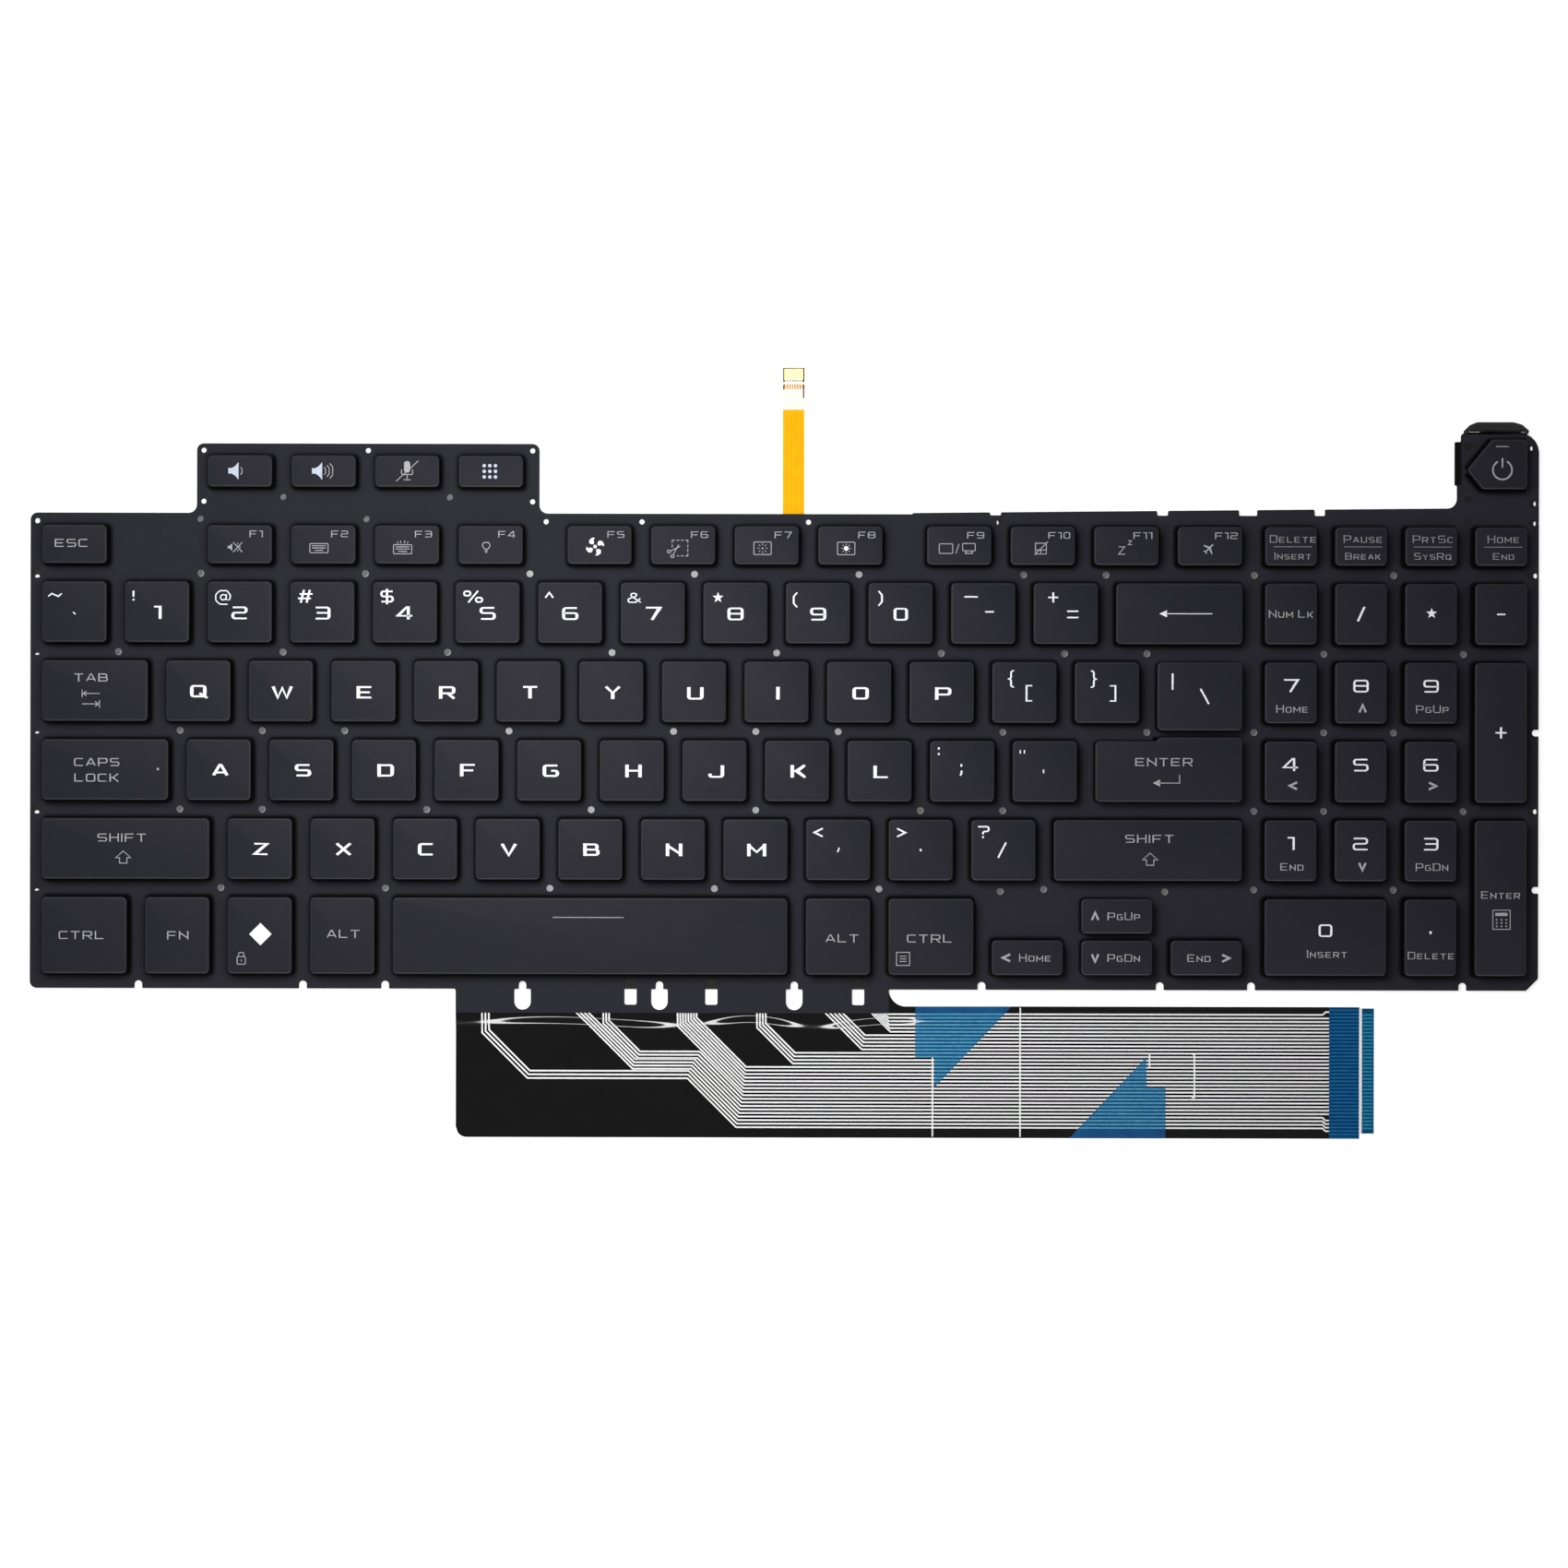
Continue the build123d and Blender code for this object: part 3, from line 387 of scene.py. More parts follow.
def middle(name):
    x0, x1, y0, y1 = keys[name]
    return np.array([(x0 + x1) / 2, (y0 + y1) / 2])


print(len(cap_shell("a")[1]), "faces in a cap")

# %% [markdown]
# ## Legends
# The legends are a wide, squared stroke lettering, lit from below. A font would bring someone's design
# with it, so each letter is a few strokes on a grid one unit high: a path, rounded where the letter is
# round, that carries a thin rectangular section. Lower-case letters are drawn as small capitals.

# %% Strokes
MARK_LOW, MARK_HIGH = CAP_TOP - 0.06, CAP_TOP + 0.015
MITRE = 0.4


def stroke(path, width, closed=False, low=MARK_LOW, high=MARK_HIGH):
    """A rectangular section along a flat path: path +- half of the width along the mitre of its normals.

    A width of two numbers acts as a broad pen: the first is for upright strokes, the second for level ones.
    """
    step = unit(np.roll(path, -1, 0) - path)
    after = np.stack([-step[:, 1], step[:, 0]], 1)
    before = np.roll(after, 1, 0)
    if not closed:
        after[-1], before[0] = before[-1], after[0]
    side = np.asarray(width) / 2 * (before + after) / np.maximum(1 + (before * after).sum(1), MITRE)[:, None]
    n = len(path)
    low, high = np.broadcast_to(low, n), np.broadcast_to(high, n)
    left, right = path + side, path - side
    ring = [(right, low), (right, high), (left, high), (left, low)]
    points = np.stack([np.column_stack([p, z]) for p, z in ring], 1).reshape(-1, 3)
    ends = np.arange(n if closed else n - 1)
    a, b = 4 * ends[:, None], 4 * ((ends + 1) % n)[:, None]
    i, j = np.arange(4)[None, :], np.roll(np.arange(4), -1)[None, :]
    faces = np.stack([a + i, b + i, b + j, a + j], -1).reshape(-1, 4)[:, ::-1].tolist()
    if not closed:
        faces += [[0, 1, 2, 3][::-1], [4 * n - 4, 4 * n - 3, 4 * n - 2, 4 * n - 1]]
    return points, faces


def strokes(drawing):
    """Reads a drawing: strokes parted by ';', points by spaces. '~' rounds a stroke, 'o' closes it."""
    for text in drawing.split(";"):
        words = text.split()
        soft, ring = "~" in words, "o" in words
        path = np.array([[float(v) for v in w.split(",")] for w in words if w not in "~o"])
        yield path, soft, ring


SOFT = 0.2
LAYER = 0.003


def draw(drawing, x, y, size, width, soften=SOFT):
    """A drawing's strokes, scaled by size about (x, y). Each lies a hair above the one before it."""
    made = []
    for number, (path, soft, ring) in enumerate(strokes(drawing)):
        path = path * size
        if soft:
            path = rounded(path, soften * np.min(size), 4, ring)
        made.append(stroke(path + (x, y), width, ring, high=MARK_HIGH + number * LAYER))
    return made


# %% [markdown]
# ## The lettering
# One line for each sign. A stroke's points are x,y with the baseline at 0 and the top of a capital at 1.

# %% Letters, figures and signs
SIGNS = {
    "A": "0,0 .58,1 .72,1 1.3,0; .25,.27 1.05,.27",
    "B": "~ 0,0 1.25,0 1.25,.5 0,.5; ~ .9,.5 1.16,.5 1.16,1 0,1; 0,-.1 0,1.1",
    "C": "~ 1.25,1 0,1 0,0 1.25,0",
    "D": "~ 0,0 1.25,0 1.25,1 0,1; 0,-.1 0,1.1",
    "E": "1.25,1 0,1 0,0 1.25,0; 0,.5 1.1,.5",
    "F": "1.25,1 0,1 0,-.1; 0,.47 1.1,.47",
    "G": "~ 1.25,1 0,1 0,0 1.25,0 1.25,.5 .65,.5",
    "H": "0,-.1 0,1.1; 1.25,-.1 1.25,1.1; 0,.52 1.25,.52",
    "I": "0,-.1 0,1.1",
    "J": "~ 1.2,1.1 1.2,0 0,0 0,.3",
    "K": "0,-.1 0,1.1; 1.2,1.08 .42,.52 1.25,-.08; 0,.52 .45,.52",
    "L": "0,1.1 0,0 1.2,0",
    "M": "0,-.1 0,1.1; 1.5,-.1 1.5,1.1; 0,.95 .75,.3 1.5,.95",
    "N": "0,-.1 0,1.1; 1.25,-.1 1.25,1.1; 0,.9 1.25,.1",
    "O": "~ 0,0 1.25,0 1.25,1 0,1 o",
    "P": "~ 0,1 1.25,1 1.25,.4 0,.4; 0,-.1 0,1.1",
    "Q": "~ 0,0 1.25,0 1.25,1 0,1 o; .75,.3 1.5,-.15",
    "R": "~ 0,1 1.25,1 1.25,.42 0,.42; 0,-.1 0,1.1; .65,.42 1.3,-.08",
    "S": "~ 1.25,1 0,1 0,.5 1.25,.5 1.25,0 0,0",
    "T": "-.05,1 1.3,1; .62,1 .62,-.1",
    "U": "~ 0,1.1 0,0 1.25,0 1.25,1.1",
    "V": "0,1.08 .65,0 1.3,1.08",
    "W": "0,1.08 .45,0 .88,.95 1.31,0 1.75,1.08",
    "X": "0,1.05 1.3,-.05; 0,-.05 1.3,1.05",
    "Y": "0,1.08 .65,.48 1.3,1.08; .65,.5 .65,-.1",
    "Z": "0,1 1.2,1 .03,0 1.25,0",
    "0": "~ 0,0 1.05,0 1.05,1 0,1 o",
    "1": "-.05,1 .5,1 .5,-.1",
    "2": "~ 0,1 1.2,1 1.2,.52 0,.52 0,0 1.25,0",
    "3": "~ 0,1 1.2,1 1.2,0 0,0; .1,.52 1.2,.52",
    "4": ".95,-.1 .95,1 .8,1 0,.22 1.3,.22",
    "5": "~ 1.2,1 0,1 0,.53 1.2,.53 1.2,0 0,0",
    "6": "~ 1.2,1 0,1 0,0 1.2,0 1.2,.54 0,.54",
    "7": "-.05,1 1.2,1 .5,-.1",
    "8": "~ 0,0 1.2,0 1.2,1 0,1 o; 0,.52 1.2,.52",
    "9": "~ 1.2,.46 0,.46 0,1 1.2,1 1.2,0 0,0",
    "!": "0,1.1 0,.35; 0,.1 0,-.1",
    "@": "~ .9,.35 .55,.25 .38,.5 .55,.78 .9,.7; "
    "~ .95,.78 .88,.25 1.25,.25 1.3,.7 1,1.1 .35,1.1 0,.75 0,.25 .35,-.1 1.05,-.1",
    "#": ".2,-.1 .5,1.1; .75,-.1 1.05,1.1; -.05,.3 1.15,.3; .1,.72 1.3,.72",
    "$": "~ 1.1,1 0,1 0,.5 1.1,.5 1.1,0 0,0; .55,1.25 .55,-.25",
    "%": "~ 0,.6 .45,.6 .45,1.05 0,1.05 o; ~ .85,-.05 1.3,-.05 1.3,.4 .85,.4 o; 1,1.1 .3,-.1",
    "^": "0,.55 .4,1.1 .8,.55",
    "&": "~ 1.25,-.1 .3,.72 .25,1.1 .8,1.1 .85,.75 0,.35 0,-.1 .75,-.1 1.2,.42",
    "*": ".5,.55 .5,1.1; .5,.55 1,.72; .5,.55 .82,.1; .5,.55 .18,.1; .5,.55 0,.72",
    "(": "~ .35,1.25 0,.85 0,.15 .35,-.25",
    ")": "~ 0,1.25 .35,.85 .35,.15 0,-.25",
    "_": "0,.5 1.1,.5",
    "-": "0,.5 .75,.5",
    "+": "0,.5 1,.5; .5,0 .5,1",
    "=": "0,.3 1,.3; 0,.7 1,.7",
    "{": "~ .5,1.25 .22,1.25 .22,.5 -.08,.5; ~ -.08,.5 .22,.5 .22,-.25 .5,-.25",
    "}": "~ 0,1.25 .28,1.25 .28,.5 .58,.5; ~ .58,.5 .28,.5 .28,-.25 0,-.25",
    "[": ".4,1.2 0,1.2 0,-.2 .4,-.2",
    "]": "0,1.2 .4,1.2 .4,-.2 0,-.2",
    "|": "0,1.25 0,-.25",
    "\\": "0,1.15 .6,-.15",
    "/": "0,-.15 .6,1.15",
    ":": "0,.95 0,.7; 0,.3 0,.05",
    ";": "0,.95 0,.7; .02,.3 .02,.05 -.1,-.2",
    '"': "0,1.1 0,.7; .3,1.1 .3,.7",
    "'": "0,1 0,.6",
    "<": "1,1 0,.5 1,0",
    ">": "0,1 1,.5 0,0",
    ",": ".05,.6 .05,.4 -.1,.15",
    ".": "0,.6 0,.35",
    "?": "~ 0,1.05 1.1,1.05 1.1,.55 .5,.55 .5,.25; .5,.05 .5,-.15",
    "~": "0,.42 .25,.62 .7,.42 .95,.62",
    "`": "0,.65 .25,.4",
}
SMALL_CAPITAL, LETTER_GAP = 0.76, 0.36
WORD_SPACE = np.array([(0.12, 0)])


def mark(sign, x, y, size, width):
    """One sign with the middle of its own box on (x, y)."""
    points = np.concatenate([path for path, _, _ in strokes(SIGNS[sign])])
    centre = (points.min(0) + points.max(0)) / 2 * size
    return draw(SIGNS[sign], x - centre[0], y - centre[1], size, width)


def write(text, x, y, height, width, stretch=1.0):
    """Signs side by side, each moved by the running sum of the widths before it, centred on (x, y)."""
    sizes = np.array([height * (SMALL_CAPITAL if c.islower() else 1) for c in text])
    drawn = [
        WORD_SPACE if c == " " else np.concatenate([path for path, _, _ in strokes(SIGNS[c.upper()])])
        for c in text
    ]
    reach = np.array([points[:, 0].max() for points in drawn]) * stretch
    wide = reach * sizes + LETTER_GAP * height * stretch + np.max(width)
    start = x - (wide.sum() - LETTER_GAP * height * stretch - np.max(width)) / 2 + np.cumsum(wide) - wide
    made = []
    for c, at, size in zip(text, start, sizes):
        if c != " ":
            made += draw(SIGNS[c.upper()], at, y - height / 2, np.array([size * stretch, size]), width)
    return made


print(len(SIGNS), "signs")

# %% [markdown]
# ## Small pictures
# The function keys carry plain pictures of what they do. They are drawn in millimetres about their own
# middle, as strokes like the letters, with a few filled shapes: a speaker's cone, an arrow's head, a leaf of
# a fan. The key between the media keys and the one beside the second control key get plain signs.

# %% Pictures
PICTURES = {
    "wave": "~ .75,.75 1.05,.4 1.05,-.4 .75,-.75",
    "waves": "~ .75,.75 1.05,.4 1.05,-.4 .75,-.75; ~ 1.3,1.15 1.75,.6 1.75,-.6 1.3,-1.15; "
    "~ 1.9,1.5 2.45,.8 2.45,-.8 1.9,-1.5",
    "mic_off": "~ -1,.3 -1,-.6 1,-.6 1,.3; 0,-.6 0,-1.4; -.65,-1.55 .65,-1.55; -2,-1.85 2,1.85",
    "mute": "-.5,-1.15 1.6,1.15; -.5,1.15 1.6,-1.15; 1.05,.25 1.05,-.25; .55,1.0 .55,.6; .55,-.6 .55,-1.0",
    "keyboard": "~ -2.1,-1.05 2.1,-1.05 2.1,1.05 -2.1,1.05 o; -1.6,.55 1.6,.55; -1.6,.05 1.6,.05; -1,-.5 1,-.5",
    "rays": "-1,1.35 -1.3,1.75; -.4,1.4 -.5,1.95; .4,1.4 .5,1.95; 1,1.35 1.3,1.75",
    "bulb": "~ -.4,-.4 -.9,.3 -.6,1.1 .6,1.1 .9,.3 .4,-.4 o; -.35,-.8 .35,-.8; -.25,-1.15 .25,-1.15",
    "snip": "-1.3,1.9 -.7,1.9; -.3,1.9 .3,1.9; .7,1.9 1.3,1.9; 1.7,1.9 2.3,1.9 2.3,1.3; 2.3,.9 2.3,.3; "
    "2.3,-.1 2.3,-.7; "
    "2.3,-1.1 2.3,-1.7 1.7,-1.7; 1.3,-1.7 .7,-1.7; .3,-1.7 -.2,-1.7; -1.3,1.9 -1.3,1.3; -1.3,.9 -1.3,.3; "
    "~ -2.4,-1 -1.7,-1 -1.7,-.4 -2.4,-.4 o; ~ -1.6,-2.1 -.9,-2.1 -.9,-1.5 -1.6,-1.5 o; -1.7,-.6 .5,.5; -1.1,-1.5 .2,.9",
    "screen": "~ -2,-1.45 2,-1.45 2,1.45 -2,1.45 o",
    "sun": "-1.1,0 -.75,0; .75,0 1.1,0; 0,.75 0,1.1; 0,-.75 0,-1.1; "
    "-.8,.8 -.55,.55; .8,.8 .55,.55; .8,-.8 .55,-.55; -.8,-.8 -.55,-.55",
    "two_screens": "~ -4.2,-1.1 -1.1,-1.1 -1.1,1.1 -4.2,1.1 o; -.35,-1.1 .35,1.1; "
    "~ 1.2,-.5 4.1,-.5 4.1,1.2 1.2,1.2 o; 1.7,-1.1 3.6,-1.1; 2.1,-.5 1.8,-1.1; 3.2,-.5 3.5,-1.1",
    "touchpad_off": "-1.3,-1.3 1.2,-1.3 1.2,1.2 -1.3,1.2 o; -1.3,-.35 1.2,-.35; -.05,-1.3 -.05,-.35; -1.5,-1.5 1.6,1.6",
    "sleep": "-1.3,.3 .1,.3 -1.3,-1.4 .2,-1.4; .9,1.7 1.7,1.7 .9,.8 1.8,.8",
    "tab": "-2,.3 -2,2.1; -1.8,1.2 2,1.2; -1,1.75 -1.75,1.2 -1,.65; "
    "2,-2.1 2,-.3; -2,-1.2 1.8,-1.2; 1,-1.75 1.75,-1.2 1,-.65",
    "shift": "0,1.4 1.75,-.15 .85,-.15 .85,-1.4 -.85,-1.4 -.85,-.15 -1.75,-.15 o",
    "return": "3.1,1.15 3.1,-.75 -1.9,-.75",
    "backspace": "7.6,0 -3.2,0",
    "space": "-8.2,0 8.2,0",
    "padlock": "~ -.95,-1.35 .95,-1.35 .95,.4 -.95,.4 o; ~ -.6,.4 -.6,1.35 .6,1.35 .6,.4; 0,-.2 0,-.75",
    "menu": "-1.5,-1.5 1.5,-1.5 1.5,1.5 -1.5,1.5 o; -.8,.6 .8,.6; -.8,0 .8,0; -.8,-.6 .8,-.6",
    "calculator": "-2,-2.2 2,-2.2 2,2.2 -2,2.2 o",
    "power_bar": "0,2.75 0,.55",
    "power_light": "-1.5,0 1.5,0",
    "up": "-.75,-.85 0,.85 .75,-.85",
    "down": "-.75,.85 0,-.85 .75,.85",
    "left": ".95,.8 -.75,0 .95,-.8",
    "right": "-.95,.8 .75,0 -.95,-.8",
    "rule": "-4.4,0 4.4,0",
}
CONE = [(-1.7, -0.55), (-1, -0.55), (-0.35, -0.95), (0.35, -1.75)]
CONE += [(x, -y) for x, y in CONE[::-1]]
LEAF = [(-0.1, 0.7), (-0.6, 1.05), (-0.72, 1.55), (-0.3, 2.0), (0.5, 2.1), (0.95, 1.75), (0.4, 1.5), (0.3, 0.95)]
STAR = np.stack([np.cos(np.arange(10) * np.pi / 5 + np.pi / 2), np.sin(np.arange(10) * np.pi / 5 + np.pi / 2)], 1)
STAR = STAR * np.where(np.arange(10) % 2, 0.52, 1.3)[:, None]
PLANE = [(0, 1.75), (0.2, 1.3), (0.2, 0.45), (1.75, -0.4), (1.75, -0.7), (0.2, -0.25), (0.14, -1.2), (0.6, -1.55)]
PLANE += [(0.6, -1.8), (0, -1.6), (-0.6, -1.8), (-0.6, -1.55), (-0.14, -1.2), (-0.2, -0.25), (-1.75, -0.7)]
PLANE += [(-1.75, -0.4), (-0.2, 0.45), (-0.2, 1.3)]
HEAD = [(0, 0), (1.7, -0.8), (1.7, 0.8)]


def filled(corners, x, y, size=1.0, turn=0.0):
    """A flat prism on the cap, turned and scaled about its own middle; corners run anticlockwise."""
    corners = np.array(corners, float) * size
    c, s = np.cos(np.radians(turn)), np.sin(np.radians(turn))
    corners = corners @ np.array([(c, s), (-s, c)]) + (x, y)
    ahead = np.roll(corners, -1, 0)
    if (corners[:, 0] * ahead[:, 1] - corners[:, 1] * ahead[:, 0]).sum() < 0:
        corners = corners[::-1]
    return prism(corners, MARK_LOW, MARK_HIGH)


def dots(xs, ys, x, y, radius):
    """Small discs where the given columns and rows cross."""
    return [filled(circle(0, 0, radius, count=8), x + a, y + b) for a in xs for b in ys]


# %% [markdown]
# ## Which key says what
# Letters and figures are bright and heavy, words and pictures thin and dim. Two-sign keys carry the
# shifted sign at the upper left. The places are millimetres from the middle of the cap.

# %% Legends of every key
LETTER_PEN, FIGURE_PEN, PAD_PEN, SIGN_PEN = (0.8, 0.42), (0.66, 0.38), (0.5, 0.36), (0.42, 0.34)
SIGN_PENS = {"@": (0.27, 0.25), "&": (0.3, 0.24), '"': 0.26, "'": 0.3, "`": 0.26, ",": 0.3, "~": 0.3}
SIGN_PENS |= {sign: (0.42, 0.28) for sign in "{}[]()"} | {"#": (0.5, 0.36), "$": (0.5, 0.36)}
WORD_PEN, NAME_PEN, LABEL_PEN, THIN, HAIR = (0.28, 0.2), (0.22, 0.15), (0.22, 0.16), 0.18, 0.12
LETTER, FIGURE, WORD, NAME, NARROW = 2.4, 2.55, 1.6, 1.5, 0.95
SPEAKER, MICROPHONE = 1.15, 1.28
PICTURE_SIZES = {"wave": SPEAKER, "waves": SPEAKER, "mic_off": MICROPHONE}
NAME_STRETCH, SECOND_LINE, FOUR = 0.8, 0.9, ("delete", "pause", "print", "home")
LETTER_PLACES = {TAB_ROW: (0.35, -0.3), CAPS_ROW: (0.42, -0.1), SHIFT_ROW: (0.28, -0.07)}
FIGURE_PLACE = (0.05, -0.25)
POWER_PLACE, POWER_PEN, CHEVRON_PEN = (1.2, -1.3), 0.34, 0.5
STARRED = {"8": (-4.0, 3.5), "multiply": (0.1, 0.2)}
FIGURE_SIGNS = {
    "1": ("!", -5.4, 3.7, 1.9), "2": ("@", -3.8, 3.3, 2.6), "3": ("#", -3.9, 3.6, 2.45), "4": ("$", -4.1, 3.6, 2.35),
    "5": ("%", -3.3, 3.6, (3.2, 2.25)), "6": ("^", -4.8, 4.0, 2.2), "7": ("&", -4.2, 3.4, (2.3, 1.7)), "8": None,
    "9": ("(", -5.2, 3.0, 2.27), "0": (")", -4.7, 3.4, 2.27),
}
SIGN_PAIRS = {
    "grave": [("~", -4.45, 3.8, 3.3), ("`", 0, -0.4, 2.2)],
    "minus": [("_", -2.8, 3.8, 2.8), ("-", 1.45, 0.35, 2.7)],
    "equals": [("+", -2.9, 3.7, 2.3), ("=", 1.6, -0.2, (2.6, 3.6))],
    "left_bracket": [("{", -3.1, 3.1, 2.5), ("[", 1.15, -0.2, (3.2, 2.5))],
    "right_bracket": [("}", -3.0, 3.1, 2.5), ("]", 1.3, -0.2, (3.2, 2.5))],
    "backslash": [("|", -6.3, 3.4, 2.5), ("\\", 1.1, 0, (3.2, 2.7))],
    "semicolon": [(":", -5.4, 4.6, 2.0), (";", -0.3, 0.3, 2.3)],
    "quote": [('"', -5.2, 4.5, (3.2, 2.0)), ("'", -0.3, 0, 2.0)],
    "comma": [("<", -4.5, 4.0, 1.9), (",", 0, 0, 2.2)],
    "period": [(">", -4.5, 4.0, 1.9), (".", 0, 0, 2.0)],
    "slash": [("?", -4.6, 4.1, 2.2), ("/", -0.3, 0, (3.0, 2.7))],
}
WORDS = {
    "esc": [("ESC", -0.7, 0.2)],
    "tab": [("TAB", -0.9, 3.0)],
    "caps_lock": [("CAPS", -1.9, 1.7), ("LOCK", -1.9, -1.9)],
    "enter": [("ENTER", -1.1, 2.2)],
    "left_shift": [("SHIFT", -0.8, 2.5)],
    "right_shift": [("SHIFT", 0.4, 2.7)],
    "left_ctrl": [("CTRL", -0.6, 0.0)],
    "right_ctrl": [("CTRL", -0.3, -0.4)],
    "fn": [("FN", 0.2, 0.0)],
    "left_alt": [("ALT", 0.3, 0.4)],
    "right_alt": [("ALT", 1.0, -0.4)],
}
NAMES = {
    "delete": [("Delete", 0.4, 1.7), ("Insert", 0.4, -2.25)],
    "pause": [("Pause", 0.4, 1.7), ("Break", 0.4, -2.25)],
    "print": [("PrtSc", 0.4, 1.7), ("SysRq", 0.4, -2.25)],
    "home": [("Home", 0.5, 1.7), ("End", 0.5, -2.25)],
    "num_lock": [("Num Lk", 0, 0)],
    "pad_7": [("Home", 0.3, -3.7)],
    "pad_9": [("PgUp", 0.3, -3.7)],
    "pad_1": [("End", 0.3, -3.7)],
    "pad_3": [("PgDn", 0.3, -3.7)],
    "pad_0": [("Insert", 0.4, -3.8)],
    "pad_point": [("Delete", 0.1, -4.1)],
    "pad_enter": [("Enter", 0, 0.8)],
    "arrow_up": [("PgUp", 1.6, 0)],
    "arrow_down": [("PgDn", 1.6, 0)],
    "arrow_left": [("Home", 1.8, 0)],
    "arrow_right": [("End", -1.7, 0)],
}
PAD_SIGNS = {"divide": "/", "subtract": "-", "add": "+", "pad_point": "."}
LABEL_PLACE = (3.8, 2.4)
PICTURE_PLACES = {
    "volume_down": [("wave", -0.7, 0)],
    "volume_up": [("waves", -0.7, 0)],
    "mic_mute": [("mic_off", 0, 0)],
    "f1": [("mute", -1.0, -0.7)],
    "f2": [("keyboard", -1.0, -0.9)],
    "f3": [("keyboard", -1.0, -1.1), ("rays", -1.0, -1.1)],
    "f4": [("bulb", -1.0, -0.6)],
    "f6": [("snip", -1.2, -0.8)],
    "f7": [("screen", -0.95, -0.7), ("sun", -0.95, -0.7)],
    "f8": [("screen", -0.95, -0.7), ("sun", -0.95, -0.7)],
    "f9": [("two_screens", -0.4, -0.7)],
    "f10": [("touchpad_off", -0.4, -0.6)],
    "f11": [("sleep", -0.5, -0.5)],
    "tab": [("tab", -0.9, -1.9)],
    "left_shift": [("shift", -0.5, -2.0)],
    "right_shift": [("shift", 0.5, -2.0)],
    "enter": [("return", -0.6, -1.9)],
    "backspace": [("backspace", 0, 0)],
    "space": [("space", -0.4, 4.3)],
    "system": [("padlock", -4.2, -5.3)],
    "right_ctrl": [("menu", -6.4, -5.1)],
    "pad_enter": [("calculator", 0.2, -4.9)],
    "power": [("power_light", 1.2, 4.1)],
}
PICTURE_PLACES |= {name: [("rule", 0.4, -0.1)] for name in FOUR}
CHEVRONS = {
    "arrow_up": [("up", -5.0, 0)],
    "arrow_down": [("down", -5.0, 0)],
    "arrow_left": [("left", -4.9, 0)],
    "arrow_right": [("right", 4.6, 0)],
    "pad_8": [("up", 0.4, -3.6)],
    "pad_2": [("down", 0.4, -3.6)],
    "pad_4": [("left", 0.5, -3.2)],
    "pad_6": [("right", 0.5, -3.2)],
}


def filled_marks(name, x, y):
    """The filled shapes on a key, as bright, dim and cool ones."""
    bright, dim, cool = [], [], []
    if name in ("volume_down", "volume_up"):
        cool.append(filled(CONE, x - 0.7, y, SPEAKER))
    if name == "mic_mute":
        dim.append(filled(rounded(box_corners(-0.55, 0.55, -0.25, 1.8), 0.5), x, y, MICROPHONE))
    if name == "f1":
        dim.append(filled(CONE, x - 1.9, y - 0.7, 0.5))
    if name == "f5":
        bright += [filled(LEAF, x - 1.0, y - 0.4, 1.0, turn) for turn in range(30, 390, 90)]
        bright.append(filled(circle(0, 0, 0.42, count=14), x - 1.0, y - 0.4))
    if name == "f7":
        dim.append(filled(circle(0, 0, 0.2, count=10), x - 0.95, y - 0.7))
    if name == "f8":
        bright.append(filled(circle(0, 0, 0.55, count=14), x - 0.95, y - 0.7))
    if name == "f12":
        dim.append(filled(PLANE, x - 0.2, y - 0.5, 0.8, -45))
    if name == "media":
        cool += dots((-1.3, 0, 1.3), (-1.3, 0, 1.3), x - 0.2, y, 0.42)
    if name in STARRED:
        bright.append(filled(STAR, x + STARRED[name][0], y + STARRED[name][1]))
    if name == "enter":
        dim.append(filled(HEAD, x - 3.7, y - 2.65))
    if name == "backspace":
        bright.append(filled(HEAD, x - 4.6, y))
    if name == "caps_lock":
        dim.append(filled(circle(0, 0, 0.3, count=12), x + 12.2, y + 0.1))
    if name == "system":
        bright.append(filled([(0, -2.6), (2.6, 0), (0, 2.6), (-2.6, 0)], x + 0.2, y + 0.3))
    if name == "pad_enter":
        dim.append(filled(box_corners(-1.4, 1.4, 0.9, 1.6), x + 0.2, y - 4.9))
        dim += dots((-1.1, 0, 1.1), (-1.5, -0.75, 0), x + 0.2, y - 4.9, 0.2)
    return bright, dim, cool


